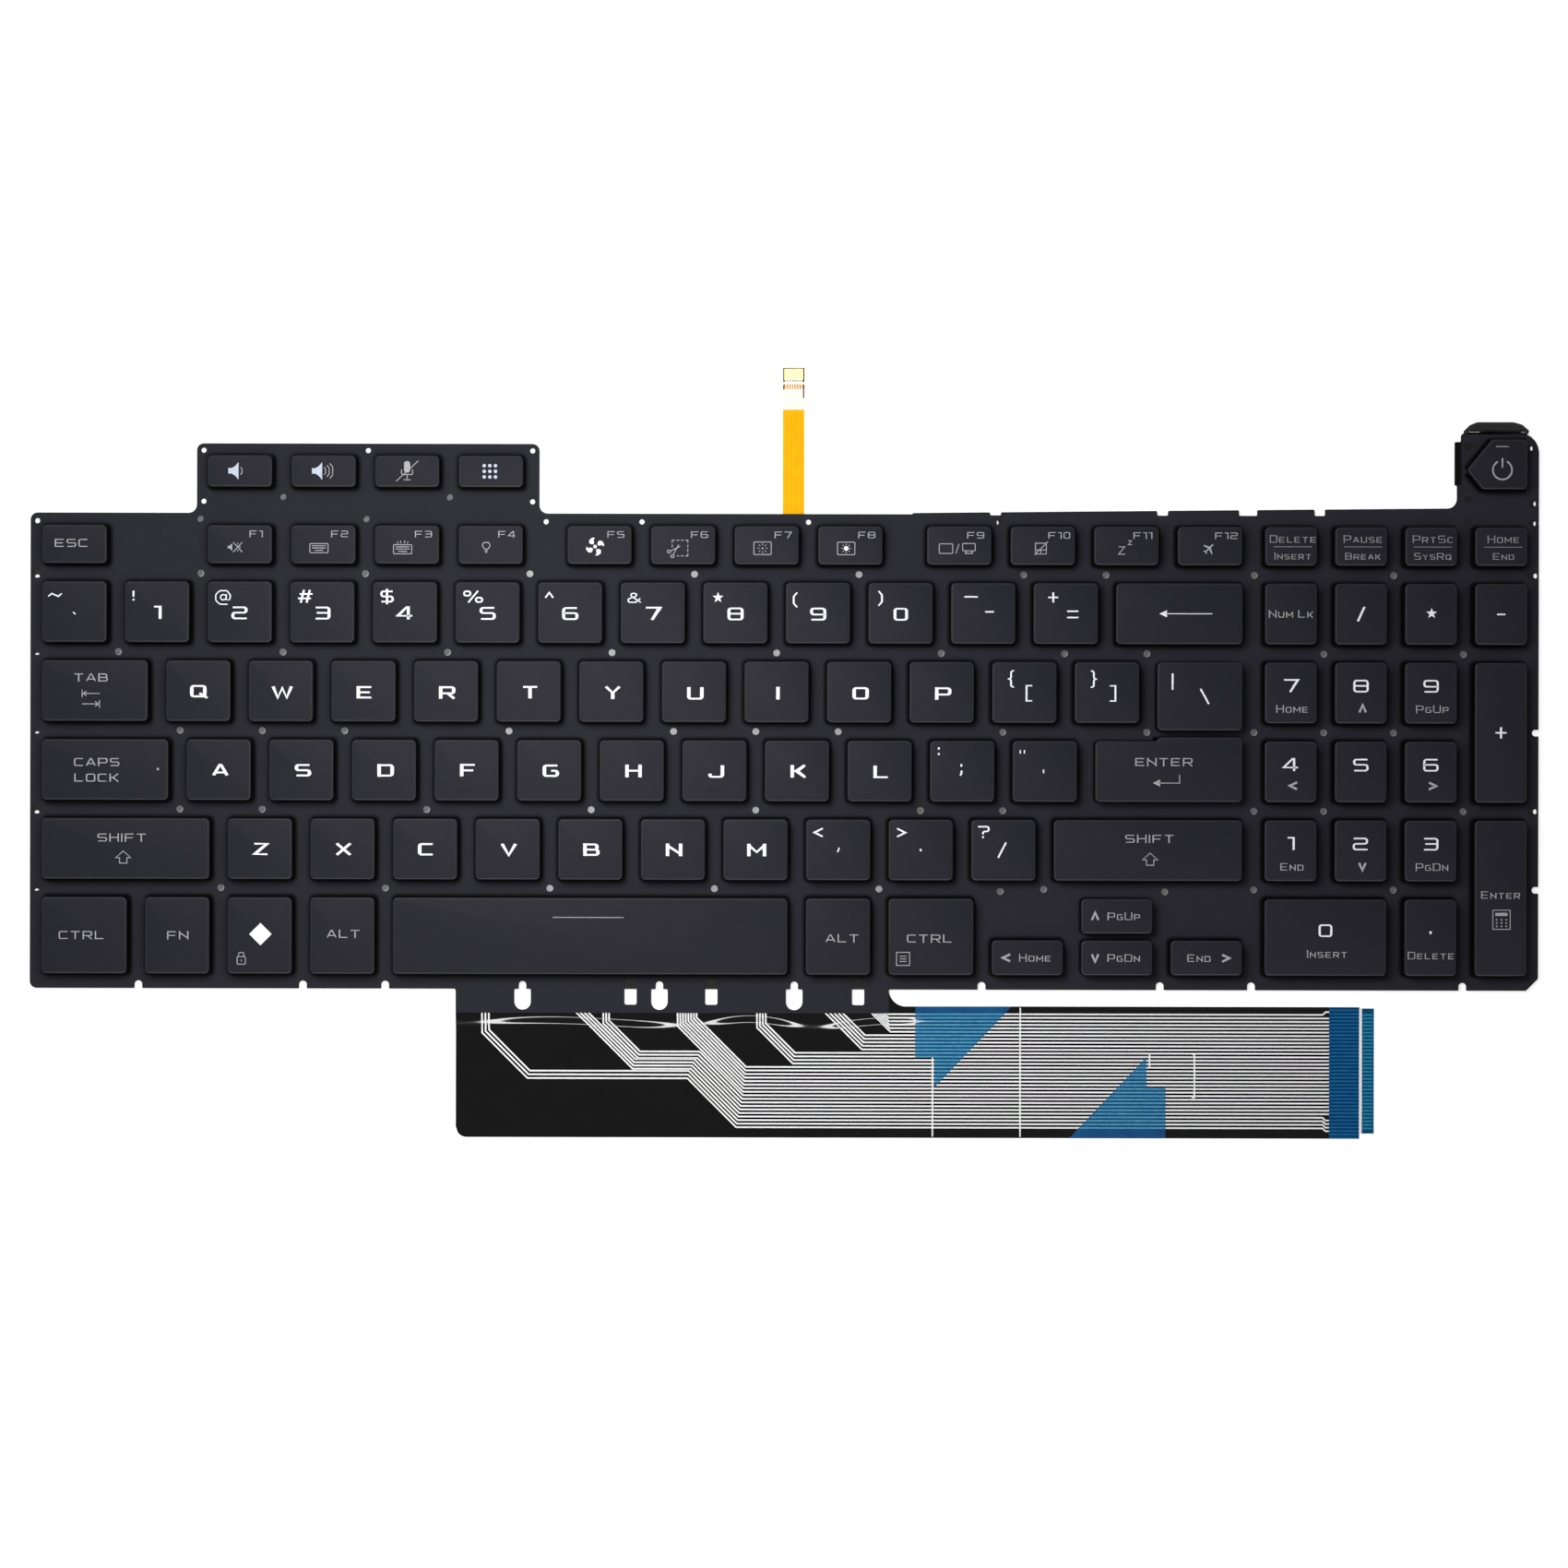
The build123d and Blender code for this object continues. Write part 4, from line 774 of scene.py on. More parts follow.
def legend(name):
    """Everything printed on one key, with its finish."""
    x, y = middle(name)
    if name == "enter":
        y = CAPS_ROW + CAP_DEPTH / 2
    bright, dim, cool = filled_marks(name, x, y)
    dull = []
    pair = SIGN_PAIRS.get(name, [])
    if name.isdigit():
        pair = [FIGURE_SIGNS[name]] if FIGURE_SIGNS[name] else []
        bright += mark(name, x + FIGURE_PLACE[0], y + FIGURE_PLACE[1], FIGURE, FIGURE_PEN)
    elif len(name) == 1:
        dx, dy = LETTER_PLACES[keys[name][2]]
        bright += mark(name.upper(), x + dx, y + dy, LETTER, LETTER_PEN)
    for sign, dx, dy, size in pair:
        bright += mark(sign, x + dx, y + dy, np.broadcast_to(size, 2), SIGN_PENS.get(sign, SIGN_PEN))
    for text, dx, dy in WORDS.get(name, []):
        dim += write(text, x + dx, y + dy, WORD, WORD_PEN, NARROW)
    for text, dx, dy in NAMES.get(name, []):
        size = NAME * (SECOND_LINE if dy < -2 and name in FOUR else 1)
        (dull if name in FOUR else dim).extend(write(text, x + dx, y + dy, size, NAME_PEN, NAME_STRETCH))
    if name in PAD_SIGNS:
        bright += mark(PAD_SIGNS[name], x, y + (1.2 if name == "pad_point" else 0), FIGURE, PAD_PEN)
    elif name.startswith("pad_") and name[-1].isdigit():
        bright += mark(name[-1], x, y + 1.6, FIGURE, PAD_PEN)
    if name[0] == "f" and name[1:].isdigit():
        dim += write(name.upper(), x + LABEL_PLACE[0], y + LABEL_PLACE[1], 1.3, LABEL_PEN, NARROW)
    for picture, dx, dy in PICTURE_PLACES.get(name, []):
        look = {"rule": dull, "backspace": bright}.get(picture, dim)
        size = PICTURE_SIZES.get(picture, 1.0)
        look += draw(PICTURES[picture], x + dx, y + dy, size, HAIR if picture == "rule" else THIN)
    for picture, dx, dy in CHEVRONS.get(name, []):
        dim += draw(PICTURES[picture], x + dx, y + dy, 1.0, CHEVRON_PEN)
    if name == "power":
        x, y = x + POWER_PLACE[0], y + POWER_PLACE[1]
        dim += draw(PICTURES["power_bar"], x, y, 1.0, POWER_PEN)
        dim.append(stroke(circle(x, y, 2.2, 118, 422, 36, closed=False), POWER_PEN))
    looks = ((bright, BRIGHT), (dim, DIM), (dull, DULL), (cool, COOL))
    return [(*shape, look) for shapes, look in looks for shape in shapes]


print(sum(len(legend(name)) for name in keys), "marks on", len(keys), "caps")

# %% [markdown]
# ## The keys on their bodies
# A travelling key is one piece, cap and legend together, so that it goes down whole. The keys that stay
# put are gathered by rows, each with the rubber dome that carries it.

# %% Domes
DECK = 1.2
DOME, SMALL_DOME = 3.4, 2.4
DOME_PROFILE = np.array([(1, 0), (1, 0.04), (0.94, 0.1), (0.7, 0.48), (0.55, 0.6), (0.55, 0.95), (0.48, 1)])


def dome(name):
    """A profile turned about the key's middle: circles of the profile's radii at its heights."""
    x0, x1, y0, y1 = keys[name]
    radius = SMALL_DOME if y1 - y0 < CAP_DEPTH else DOME
    rings = [circle(*middle(name), radius * r) for r in DOME_PROFILE[:, 0]]
    return (*shell(rings, DECK + (ROOF - DECK) * DOME_PROFILE[:, 1]), RUBBER)


# %% Travelling and fixed keys
moving = [name[4:] for name in frame["bodies"] if name.startswith("key_")]
fixed = [name for name in keys if name not in moving]
for name in moving:
    bar = [homing_bar(name)] if name in "fj" else []
    piece(f"cap_{name}", [cap_shell(name), *bar, *legend(name)], f"key_{name}", [f"key_{name}"])


def fixed_group(name):
    """Which of the four fixed groups a key belongs to, by its place."""
    x0, x1, y0, y1 = keys[name]
    if y0 >= FUNCTION_ROW:
        return "function_row"
    if x0 >= PAD_LEFT or name.startswith("arrow"):
        return "pad_and_arrow"
    return "number_row" if y0 >= NUMBER_ROW else "symbol"


for group in ("function_row", "number_row", "symbol", "pad_and_arrow"):
    names = [name for name in fixed if fixed_group(name) == group]
    surfaces = [s for name in names for s in (cap_shell(name), dome(name), *legend(name))]
    piece(f"{group}_caps", surfaces, "deck", [f"{group}_keys"])
    print(group, len(names), "fixed keys")
print(len(moving), "travelling keys")

# %% [markdown]
# ## Under each travelling key
# Two plastic frames cross like scissors round the dome, and a wide key has a bent wire as well. They sit
# between the deck and the cap.

# %% Scissor links, domes and wires
LINK_WIDTH, INNER_WIDTH, LINK_LENGTH = 11.2, 9.4, 10.4
BAR, LINK_THICKNESS, LINK_MIDDLE, TILT = 0.9, 0.7, 2.95, 0.2549
WIRE, WIRE_HIGH, WIRE_LOW, WIRE_ARM, WIRE_INSET = 0.6, 4.2, 1.7, 6.0, 3.5
WIDE_KEYS = ["backspace", "caps_lock", "enter", "left_shift", "right_shift", "space"]


def link(name, width, tilt, ring):
    """A bar round a rectangle, rising along it: height = middle + place along Y times the tilt's sine."""
    half, end = (width - BAR) / 2, (LINK_LENGTH - BAR) / 2
    path = rounded(np.array([(half, end), (half, -end), (-half, -end), (-half, end)]), 0.5, 4, ring)
    z = LINK_MIDDLE + path[:, 1] * np.sin(tilt)
    path = path * (1, np.cos(tilt)) + middle(name)
    return (*stroke(path, BAR, ring, z - LINK_THICKNESS / 2, z + LINK_THICKNESS / 2), LINK)


def wire(name):
    """A bar along the rear of the cap whose two arms slope down to the deck."""
    x0, x1, y0, y1 = keys[name]
    y = y1 - WALL - 0.2 - WIRE / 2
    x0, x1 = x0 + WIRE_INSET + WIRE / 2, x1 - WIRE_INSET - WIRE / 2
    path = rounded(np.array([(x0, y - WIRE_ARM), (x0, y), (x1, y), (x1, y - WIRE_ARM)]), 0.5, 5, False)
    z = WIRE_HIGH - (WIRE_HIGH - WIRE_LOW) * (y - path[:, 1]) / WIRE_ARM
    return (*stroke(path, WIRE, False, z - WIRE / 2, z + WIRE / 2), STEEL)


MECHANISM = ["rubber_domes", "scissor_outer_links", "scissor_inner_links", "stabiliser_wires"]
for name in moving:
    surfaces = [dome(name)]
    if name != "power":
        surfaces += [link(name, LINK_WIDTH, TILT, True), link(name, INNER_WIDTH, -TILT, False)]
    if name in WIDE_KEYS:
        surfaces.append(wire(name))
    made = piece(f"mechanism_{name}", surfaces, None, MECHANISM)
    x, y = middle(name) * MM
    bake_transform(made)
print(len(moving), "mechanisms")

# %% [markdown]
# ## Sheets with holes
# The plate and the films are flat sheets with rounded corners, notches and round holes. A boolean for each
# hole would be slow; here the outlines are joined into one set of triangles, and the walls are added.

# %% One recipe for the sheets
from mathutils.geometry import tessellate_polygon


def turning(outline):
    ahead = np.roll(outline, -1, 0)
    return (outline[:, 0] * ahead[:, 1] - outline[:, 1] * ahead[:, 0]).sum()


def sheet(edge, holes, low, high):
    """Triangles between an edge and its holes, at two heights, with walls along every outline."""
    outlines = [edge if turning(edge) > 0 else edge[::-1]]
    outlines += [hole if turning(hole) < 0 else hole[::-1] for hole in holes]
    flat = np.concatenate(outlines)
    count = len(flat)
    triangles = np.array(tessellate_polygon([[(*p, 0.0) for p in line] for line in outlines]))
    corner = flat[triangles]
    a, b = corner[:, 1] - corner[:, 0], corner[:, 2] - corner[:, 0]
    area = a[:, 0] * b[:, 1] - a[:, 1] * b[:, 0]
    triangles[area < 0] = triangles[area < 0][:, ::-1]
    points = np.concatenate([np.column_stack([flat, np.full(count, z)]) for z in (low, high)])
    faces = triangles[:, ::-1].tolist() + (triangles + count).tolist()
    start = 0
    for line in outlines:
        i = start + np.arange(len(line))
        j = np.roll(i, -1)
        faces += np.stack([i, j, j + count, i + count], 1).tolist()
        start += len(line)
    return points, faces


# %% [markdown]
# ## The outline of the deck
# The plate and the black film share it: a wide field, a tab for the media keys, a rim and a tab for the
# power key along the top, and small half-round notches in the lower edge. It is written once as corners
# with their radii, running anticlockwise from the lower left.

# %% Deck outline
LEFT, RIGHT, BOTTOM, TOP = -174.66875, 174.66875, -48.8, 61.3
MEDIA_LEFT, MEDIA_RIGHT, MEDIA_TOP = -136.16875, -56.82875, 77.4
POWER_LEFT, POWER_TOP, PLATE_LIP = 154.36875, 80.3, 0.1
STRIP, STRIP_LEFT, STRIP_LOW, STRIP_HIGH = 2.2, POWER_LEFT + 0.75, 68.2, 78.3
RIM_START, RIM_END, RIM_LOW, RIM_HIGH = 29.6, 154.4, 0.3, 1.6
NOTCH, SIDE_NOTCH, CORNER_CUT, POWER_CORNER = 0.9, 0.75, 2.8, 4.5
INNER_CORNER, FOOT, FOOT_CORNER = 1.9, 0.9, 2.2
TAIL_LEFT, TAB_RIGHT, TAB_LOW = -76.0, 24.3, -54.3
SLOT_XS, WINDOW_XS = (-60.5, -28.8, 2.4), (-35.5, -16.8, 17.2)


def gap_x(name, gap=GAP):
    """The middle of the gap to the left of a key."""
    return keys[name][0] - gap / 2


LOWER_NOTCHES = [gap_x("fn"), gap_x("left_alt"), gap_x("space"), keys["right_ctrl"][1] + GAP / 2]
LOWER_NOTCHES += [gap_x("arrow_right"), PAD_LEFT - 2.525, pad_x[3] - GAP / 2]
RIM_NOTCHES = [(48.8, 1.25), (87.5, 1.25), (107.3, 2.1), (123.9, 1.2)]


def rim_height(x):
    """The rim rises evenly towards the power tab."""
    return RIM_LOW + (RIM_HIGH - RIM_LOW) * (x - RIM_START) / (RIM_END - RIM_START)


def deck_outline(inset, lip, tab):
    """Corners (x, y, radius), each made an arc. The film's tab past the lower edge is optional."""
    left, right, bottom, top = LEFT + inset, RIGHT - inset, BOTTOM + inset, TOP - inset
    high = POWER_TOP + lip - inset
    tab_left = POWER_LEFT + STRIP + inset
    cuts = {}
    for x in LOWER_NOTCHES if tab else [*LOWER_NOTCHES, *SLOT_XS]:
        sides = (x - NOTCH, x + NOTCH)
        deep = bottom + 2 * NOTCH
        cuts[x] = [(sides[0], bottom, 0.15), (sides[0], deep, 0.88), (sides[1], deep, 0.88), (sides[1], bottom, 0.15)]
    if tab:
        cuts = {x: cut for x, cut in cuts.items() if not TAIL_LEFT < x < TAB_RIGHT}
        cuts[TAIL_LEFT] = [(TAIL_LEFT, bottom, 0.8), (TAIL_LEFT, TAB_LOW, 0.05)]
        cuts[TAIL_LEFT] += [(TAB_RIGHT, TAB_LOW, 0.05), (TAB_RIGHT, bottom, 0.8)]
    corners = [(left, bottom, 1.6)] + [corner for x in sorted(cuts) for corner in cuts[x]]
    corners += [(right - CORNER_CUT, bottom, 0.5), (right, bottom + CORNER_CUT, 0.5)]
    for y in (-25.5, 10.9):
        corners += [(right, y - SIDE_NOTCH, 0.1), (right - 2 * SIDE_NOTCH, y - SIDE_NOTCH, 0.7)]
        corners += [(right - 2 * SIDE_NOTCH, y + SIDE_NOTCH, 0.7), (right, y + SIDE_NOTCH, 0.1)]
    corners += [(right, high, POWER_CORNER), (tab_left, high, 1.0)]
    foot = tab_left - FOOT
    if lip:
        corners += [(tab_left, STRIP_HIGH, 0.3), (STRIP_LEFT, STRIP_HIGH, 0.3), (STRIP_LEFT, STRIP_LOW, 0.2)]
    else:
        corners += [(tab_left, STRIP_LOW, 0.3)]
    corners += [(foot, STRIP_LOW, 0.2), (foot, top + RIM_HIGH, FOOT_CORNER)]
    for x, half in RIM_NOTCHES[::-1]:
        for side in (x + half, x - half):
            edge = [(side, top + rim_height(side), 0.3), (side, top - 0.2, 0.3)]
            corners += edge if side > x else edge[::-1]
    corners += [(RIM_START + inset, top + RIM_LOW, 0.2), (RIM_START + inset, top, 0.2)]
    corners += [(MEDIA_RIGHT - inset, top, INNER_CORNER)]
    corners += [(MEDIA_RIGHT - inset, MEDIA_TOP - inset, 1.6), (MEDIA_LEFT + inset, MEDIA_TOP - inset, 1.6)]
    corners += [(MEDIA_LEFT + inset, top, INNER_CORNER), (left, top, 1.6)]
    corners = np.array(corners)
    return rounded(corners[:, :2], corners[:, 2], 6)


# %% [markdown]
# ## Plate and film
# Holes along the edges go through both and show the table. Holes between the keys only go through the
# film and show the pale spacer under it; away from the middle a grey disc just inside each hole covers most of that, as
# painted shade. The film's tab has keyhole slots and square windows.

# %% Holes
STAKE_HOLES = [(x, y) for x in (-173.069, 173.069) for y in (-7.3, 47.3)]
EDGE_HOLES = [(-173.069, y) for y in (-25.5, 10.9, 29.1, 59.4)] + [(173.069, 59.4), (173.069, 64.0)]
EDGE_HOLES += [(172.3, 76.8)]
EDGE_HOLES += [(x, y) for x in (-134.569, -58.429) for y in (64.0, 75.8)] + [(-96.499, 75.8)]
HOLE_PAIRS = ("f4", "f5"), ("f5", "f6"), ("f7", "f8"), ("f9", "f10")
EDGE_HOLES += [((keys[a][1] + keys[b][0]) / 2, 59.4) for a, b in HOLE_PAIRS]
HOLE, STAKE, FILM_STAKE = 0.8, 0.75, 1.1
GAP_HOLES = {
    47.3: "2 4 6 8 0 equals backspace delete print",
    29.1: "1 3 5 7 9 minus right_bracket backslash divide subtract",
    10.9: "a s d g j k l quote backslash pad_7 pad_8 pad_9",
    -7.3: "a s f h k semicolon quote pad_4 pad_5 subtract",
    -25.5: "z c b m period right_shift pad_1 pad_3",
}
film_holes = [(gap_x(name), y) for y, names in GAP_HOLES.items() for name in names.split()]
film_holes += [(gap_x(name, FUNCTION_GAP), y) for name, y in (("volume_up", 64.9), ("media", 64.9), ("f3", 59.8))]
film_holes += [(50.0, -26.0), (88.1, -26.0), (gap_x("f1"), 59.8)]
power_holes = [(158.2, y) for y in (59.7, 65.0, 77.2)]


def keyhole(x):
    """A narrow slot over the plate that widens past its edge and ends in a half circle."""
    half = [(1.9, -53.6, 1.88), (1.9, BOTTOM, 0.3), (0.85, BOTTOM, 0.1), (0.85, BOTTOM + 1.8, 0.84)]
    corners = np.array(half + [(-a, b, radius) for a, b, radius in half[::-1]]) + (x, 0, 0)
    return rounded(corners[:, :2], corners[:, 2], 8)


def window(x, high):
    return rounded(box_corners(x - 1.4, x + 1.4, -52.4, high), 0.4, 5)


SIGHT, SIGHT_SHIFT = 0.75, 0.9
SIGHT_LEFT, SIGHT_RIGHT, VEIL_SHIFT = -70.0, 30.0, (-0.2, 0.15)


def sighted(place):
    """Where the plate's hole is: aside by a little along the left, the right and the far top, else under the film's."""
    x, y = place
    if x < LEFT + 3 and y < TOP - 5:
        return x, y - SIGHT_SHIFT
    if x > RIGHT - 3:
        return x + SIGHT_SHIFT, y
    return (x - SIGHT_SHIFT, y) if x > SIGHT_RIGHT else (x, y)


# %% Plate and film sheets
FILM_INSET = 0.25
PLATE_LEVELS, FILM_LEVELS = (0.5, 0.9), (1.1, 1.2)
rounds = [circle(x, y, HOLE) for x, y in EDGE_HOLES]
plate_holes = [circle(*place, HOLE * SIGHT) for place in map(sighted, EDGE_HOLES)]
plate_holes += [circle(*place, STAKE * SIGHT) for place in map(sighted, STAKE_HOLES)]
plate = sheet(deck_outline(0, PLATE_LIP, False), plate_holes, *PLATE_LEVELS)
piece("deck_plate", [(*plate, PLATE)], replaces=["support_plate"])
holes = rounds + [circle(x, y, FILM_STAKE) for x, y in STAKE_HOLES]
holes += [circle(x, y, HOLE, count=14) for x, y in film_holes + power_holes]
holes += [keyhole(x) for x in SLOT_XS] + [window(x, -46.5) for x in WINDOW_XS]
film = sheet(deck_outline(FILM_INSET, 0, True), holes, *FILM_LEVELS)
# Away from the middle, a grey disc set a little off each film hole is painted shade for the hole's shaded wall and
# floor.
veiled = [(x, y) for x, y in film_holes if not SIGHT_LEFT < x < SIGHT_RIGHT]
hole_shade_discs = [prism(circle(x + VEIL_SHIFT[0], y + VEIL_SHIFT[1], HOLE, count=14), 1.1, 1.16) for x, y in veiled]
surfaces = [(*film, FILM)] + [(*veil, HOLE_PAINTED_SHADE) for veil in hole_shade_discs]
piece("deck_film", surfaces, replaces=["membrane_top_film"])
print(len(plate[1]), "faces in the plate,", len(film[1]), "in the film")

# %% [markdown]
# ## Painted shade round the keys
# Round each key the film is painted dead black. This is painted shade for the shadow under and beside the cap, and it
# fades out into the film's own grey. A picture would do it, but a thin ring round every cap that carries its fade as
# one number for each corner stays sharp at any size.

# %% Painted shade rings
SHADE_REACH, SHADE_UNDER, NARROW_REACH = 1.15, 0.5, 0.6
SHADE_LOW, SHADE_HIGH, SHADE_BLACK = 1.19, 1.206, 0.0004
NARROW_SHADES = ("enter", "backslash", "arrow_up", "arrow_down")
TIP_GAP = 1.0


def fading(material, dark):
    """The piece's own numbers, as a smooth step from the cap's edge on, lead from black painted shade to a finish."""
    nodes, links = material.node_tree.nodes, material.node_tree.links
    shader, shade = nodes["Principled BSDF"], nodes["Color Ramp"]
    number = nodes.new("ShaderNodeAttribute")
    number.attribute_name = "fade"
    fade = nodes.new("ShaderNodeMapRange")
    fade.interpolation_type = "SMOOTHSTEP"
    fade.inputs["From Min"].default_value = SHADE_UNDER / (SHADE_UNDER + SHADE_REACH)
    links.new(number.outputs["Fac"], fade.inputs["Value"])
    mix = nodes.new("ShaderNodeMix")
    mix.data_type = "RGBA"
    mix.inputs["A"].default_value = (*grey(dark), 1)
    links.new(fade.outputs["Result"], mix.inputs["Factor"])
    links.new(shade.outputs["Color"], mix.inputs["B"])
    links.new(mix.outputs["Result"], shader.inputs["Base Color"])


def painted_shade_ring(name):
    """A flat ring of painted shade from under the cap's edge outwards: the cap's outline as a closed stroke."""
    reach = NARROW_REACH if name in NARROW_SHADES else SHADE_REACH
    outline = rounded(inset(cap_corners(name), (SHADE_UNDER - reach) / 2), CORNER, 5)
    return stroke(outline, reach + SHADE_UNDER, True, SHADE_LOW, SHADE_HIGH)


def power_painted_shade_rings():
    """The same painted shade above and below the power key, short of its tip and its right side, where the film ends.
    """
    tip, low, low_right, high_right, high = inset(cap_corners("power"), (SHADE_UNDER - SHADE_REACH) / 2)
    below = [tip + TIP_GAP * unit(low - tip), low, low_right]
    above = [high_right, high, tip + TIP_GAP * unit(high - tip)]
    outlines = [rounded(np.array(path), CORNER, 5, False) for path in (below, above)]
    return [stroke(outline, SHADE_REACH + SHADE_UNDER, False, SHADE_LOW, SHADE_HIGH) for outline in outlines]


# Painted shade: the film's own finish, dead black at the cap's edge and fading out to the film's grey by the ring's
# fade number.
PAINTED_KEY_SHADE = finish("frame_print", FILM_DARK, FILM_LIGHT, (0.45, 0.6), 0.3, 0.006, Specular_IOR_Level=FILM_SHINE)
fading(PAINTED_KEY_SHADE, SHADE_BLACK)
rings = [painted_shade_ring(name) for name in keys if name != "power"] + power_painted_shade_rings()
shade_rings_piece = piece("key_frames", [(*ring, PAINTED_KEY_SHADE) for ring in rings])
outer = np.concatenate([np.arange(len(points)) % 4 < 2 for points, _ in rings])
shade_rings_piece.data.attributes.new("fade", "FLOAT", "POINT").data.foreach_set("value", outer.astype(np.float32))
print(len(rings), "shade_rings_piece")

# %% [markdown]
# ## The tail
# The lower film runs out past the deck as one wide tail. It bends down from the deck to the table and then
# lies flat, and its long arm fades down towards the right. One height for every place, worked out
# from two smooth steps, serves the film itself, the printed traces on it and the tapes over it.

# %% Height of the tail
TAIL_BOTTOM, TAIL_RIGHT, ARM_TOP, STIFF_LEFT, CONTACT_LEFT = -83.2, 136.8, -52.7, 126.4, 133.4
BEND, BEND_WANDER, FADE_END, TAIL_HIGH, TAIL_THICK = 3.6, 0.9, 58.0, 0.9, 0.1
FILLET, FLAT_BELOW, TAIL_CORNER = 4.0, -60.5, 2.5
TAIL_LEVELS, FIELD_INSET = (0.9, 1.0), 3.3


def smooth(t):
    t = np.clip(t, 0, 1)
    return t * t * (3 - 2 * t)


def tail_height(x, y):
    """A smooth step across the bend times a smooth step along the arm.

    Where the bend starts and how long it is both wander along X, as sines of slowly changing pace.
    """
    start = TAB_LOW - 0.5 * (1 + np.sin(x / 11 + 2 * np.sin(x / 37)))
    length = BEND + BEND_WANDER * np.sin(x / 6.1 + 1.3 * np.sin(x / 17))
    across = smooth((y - start + length) / length)
    along = smooth((FADE_END - x) / (FADE_END - TAB_RIGHT))
    return TAIL_HIGH * across * along


def leaf(x, y, low, high):
    """A grid of places with two heights each: an upper and a lower face and four walls."""
    rows, columns = x.shape
    count = rows * columns
    points = np.concatenate([np.stack([x, y, z], -1).reshape(-1, 3) for z in (high, low)])
    n = np.arange(count).reshape(rows, columns)
    upper = np.stack([n[:-1, :-1], n[:-1, 1:], n[1:, 1:], n[1:, :-1]], -1).reshape(-1, 4)
    rim = np.concatenate([n[0, :-1], n[:-1, -1], n[-1, :0:-1], n[:0:-1, 0]])
    ahead = np.roll(rim, -1)
    walls = np.stack([rim + count, ahead + count, ahead, rim], 1)
    return points, np.concatenate([upper, upper[:, ::-1] + count, walls]).tolist()


# %% Tail film
BEND_SHARES = np.concatenate([np.linspace(0, 0.36, 46), np.linspace(0.4, 1, 14)])


def tail_leaf(x, top):
    """Columns at the given places along X, from the tail's outer edge to its upper edge, which may be a curve."""
    edge = top(x)
    corner = np.maximum(TAIL_CORNER - (x - TAIL_LEFT), 0)
    low = TAIL_BOTTOM + TAIL_CORNER - np.sqrt(TAIL_CORNER**2 - corner**2)
    share = BEND_SHARES[::-1, None]
    y = edge + (low - edge) * share
    x = np.broadcast_to(x, y.shape)
    z = tail_height(x, y)
    return leaf(x, y, z, z + TAIL_THICK)


def arm_edge(x):
    """The arm's upper edge: a quarter circle from the tab's side, then straight."""
    reach = np.maximum(TAB_RIGHT + FILLET - x, 0)
    return ARM_TOP + FILLET - np.sqrt(FILLET**2 - reach**2)


strip_holes = [keyhole(x) for x in SLOT_XS] + [window(x, -46.0) for x in WINDOW_XS]
strip = sheet(box_corners(TAIL_LEFT, TAB_RIGHT, TAB_LOW, -45.5), strip_holes, *TAIL_LEVELS)
under_tab = tail_leaf(np.linspace(TAIL_LEFT, TAB_RIGHT, 200), lambda x: np.full_like(x, TAB_LOW))
fillet_x = TAB_RIGHT + FILLET * (1 - np.cos(np.linspace(0, np.pi / 2, 32)))
arm_x = np.concatenate([fillet_x, np.linspace(TAB_RIGHT + FILLET, CONTACT_LEFT, 150)[1:]])
arm = tail_leaf(arm_x, arm_edge)
field = sheet(inset(box_corners(LEFT, RIGHT, BOTTOM, TOP), FIELD_INSET), [], *TAIL_LEVELS)
surfaces = [(*surface, TAIL) for surface in (strip, under_tab, arm, field)]
piece("tail_film", surfaces, replaces=["membrane_bottom_film"])
print(sum(len(s[1]) for s in surfaces), "faces in the tail")

# %% [markdown]
# ## Traces
# Thirty-three printed lines come out from under the film in seven bundles. Each runs down, turns by 45
# degrees, and ends in its own row along the arm. Some bundles stop at a step between, then turn again.

# %% Trace paths
ROW_TOP, ROW_PITCH, TRACE = -54.5, 0.822, 0.37
TRACE_START, JOG, LAST_STRAIGHT = -53.8, 0.65, 28
trace_rows = ROW_TOP - ROW_PITCH * np.arange(33)


def bundle(count, x, pitch, corner, spread, lowest_row, step=None):
    """Corner points of a bundle's lines. spread is how far x + y moves from one diagonal to the next.

    step, if any, is the height of the lowest line's step, the pitch of the steps, and the first x + y
    of the second diagonals with its own spread. The first line and the last four end in a small jog.
    """
    k = np.arange(count)
    xs = x + pitch * k
    turn = np.minimum(corner + (spread - pitch) * k, TAB_LOW)
    rows = trace_rows[lowest_row - k]
    ends = np.full(count, STIFF_LEFT)
    number = lowest_row - k
    jog = np.where(number == 0, JOG, np.where(number > LAST_STRAIGHT, -JOG, 0))
    points = [(xs, np.full(count, TRACE_START)), (xs, turn)]
    if step:
        low, step_pitch, second, second_spread = step
        steps = low + step_pitch * k
        sums = second + second_spread * k
        points += [(xs + turn - steps, steps), (sums - steps, steps), (sums - rows, rows)]
    else:
        points += [(xs + turn - rows, rows)]
    points += [(ends - 1.5, rows), (ends - 0.8, rows + jog), (ends, rows + jog)]
    return np.stack([np.stack(p, -1) for p in points], 1)


BUNDLES = [
    bundle(3, -69.9, 0.8, -59.0, 1.13, 32, (-69.5, 0.85, -91.8, 1.0)),
    bundle(4, -48.0, 0.93, TAB_LOW, 0.93, 29, (-67.3, 0.75, -88.8, 1.0)),
    bundle(3, -41.8, 0.67, -56.8, 1.0, 25, (-64.8, 0.75, -84.8, 1.0)),
    bundle(8, -24.6, 0.63, -57.4, 0.92, 22),
    bundle(4, -6.2, 0.67, -57.7, 1.0, 14),
    bundle(5, 9.7, 1.0, TAB_LOW, 1.0, 10),
    bundle(6, 20.4, 0.7, TAB_LOW, 0.7, 5),
]


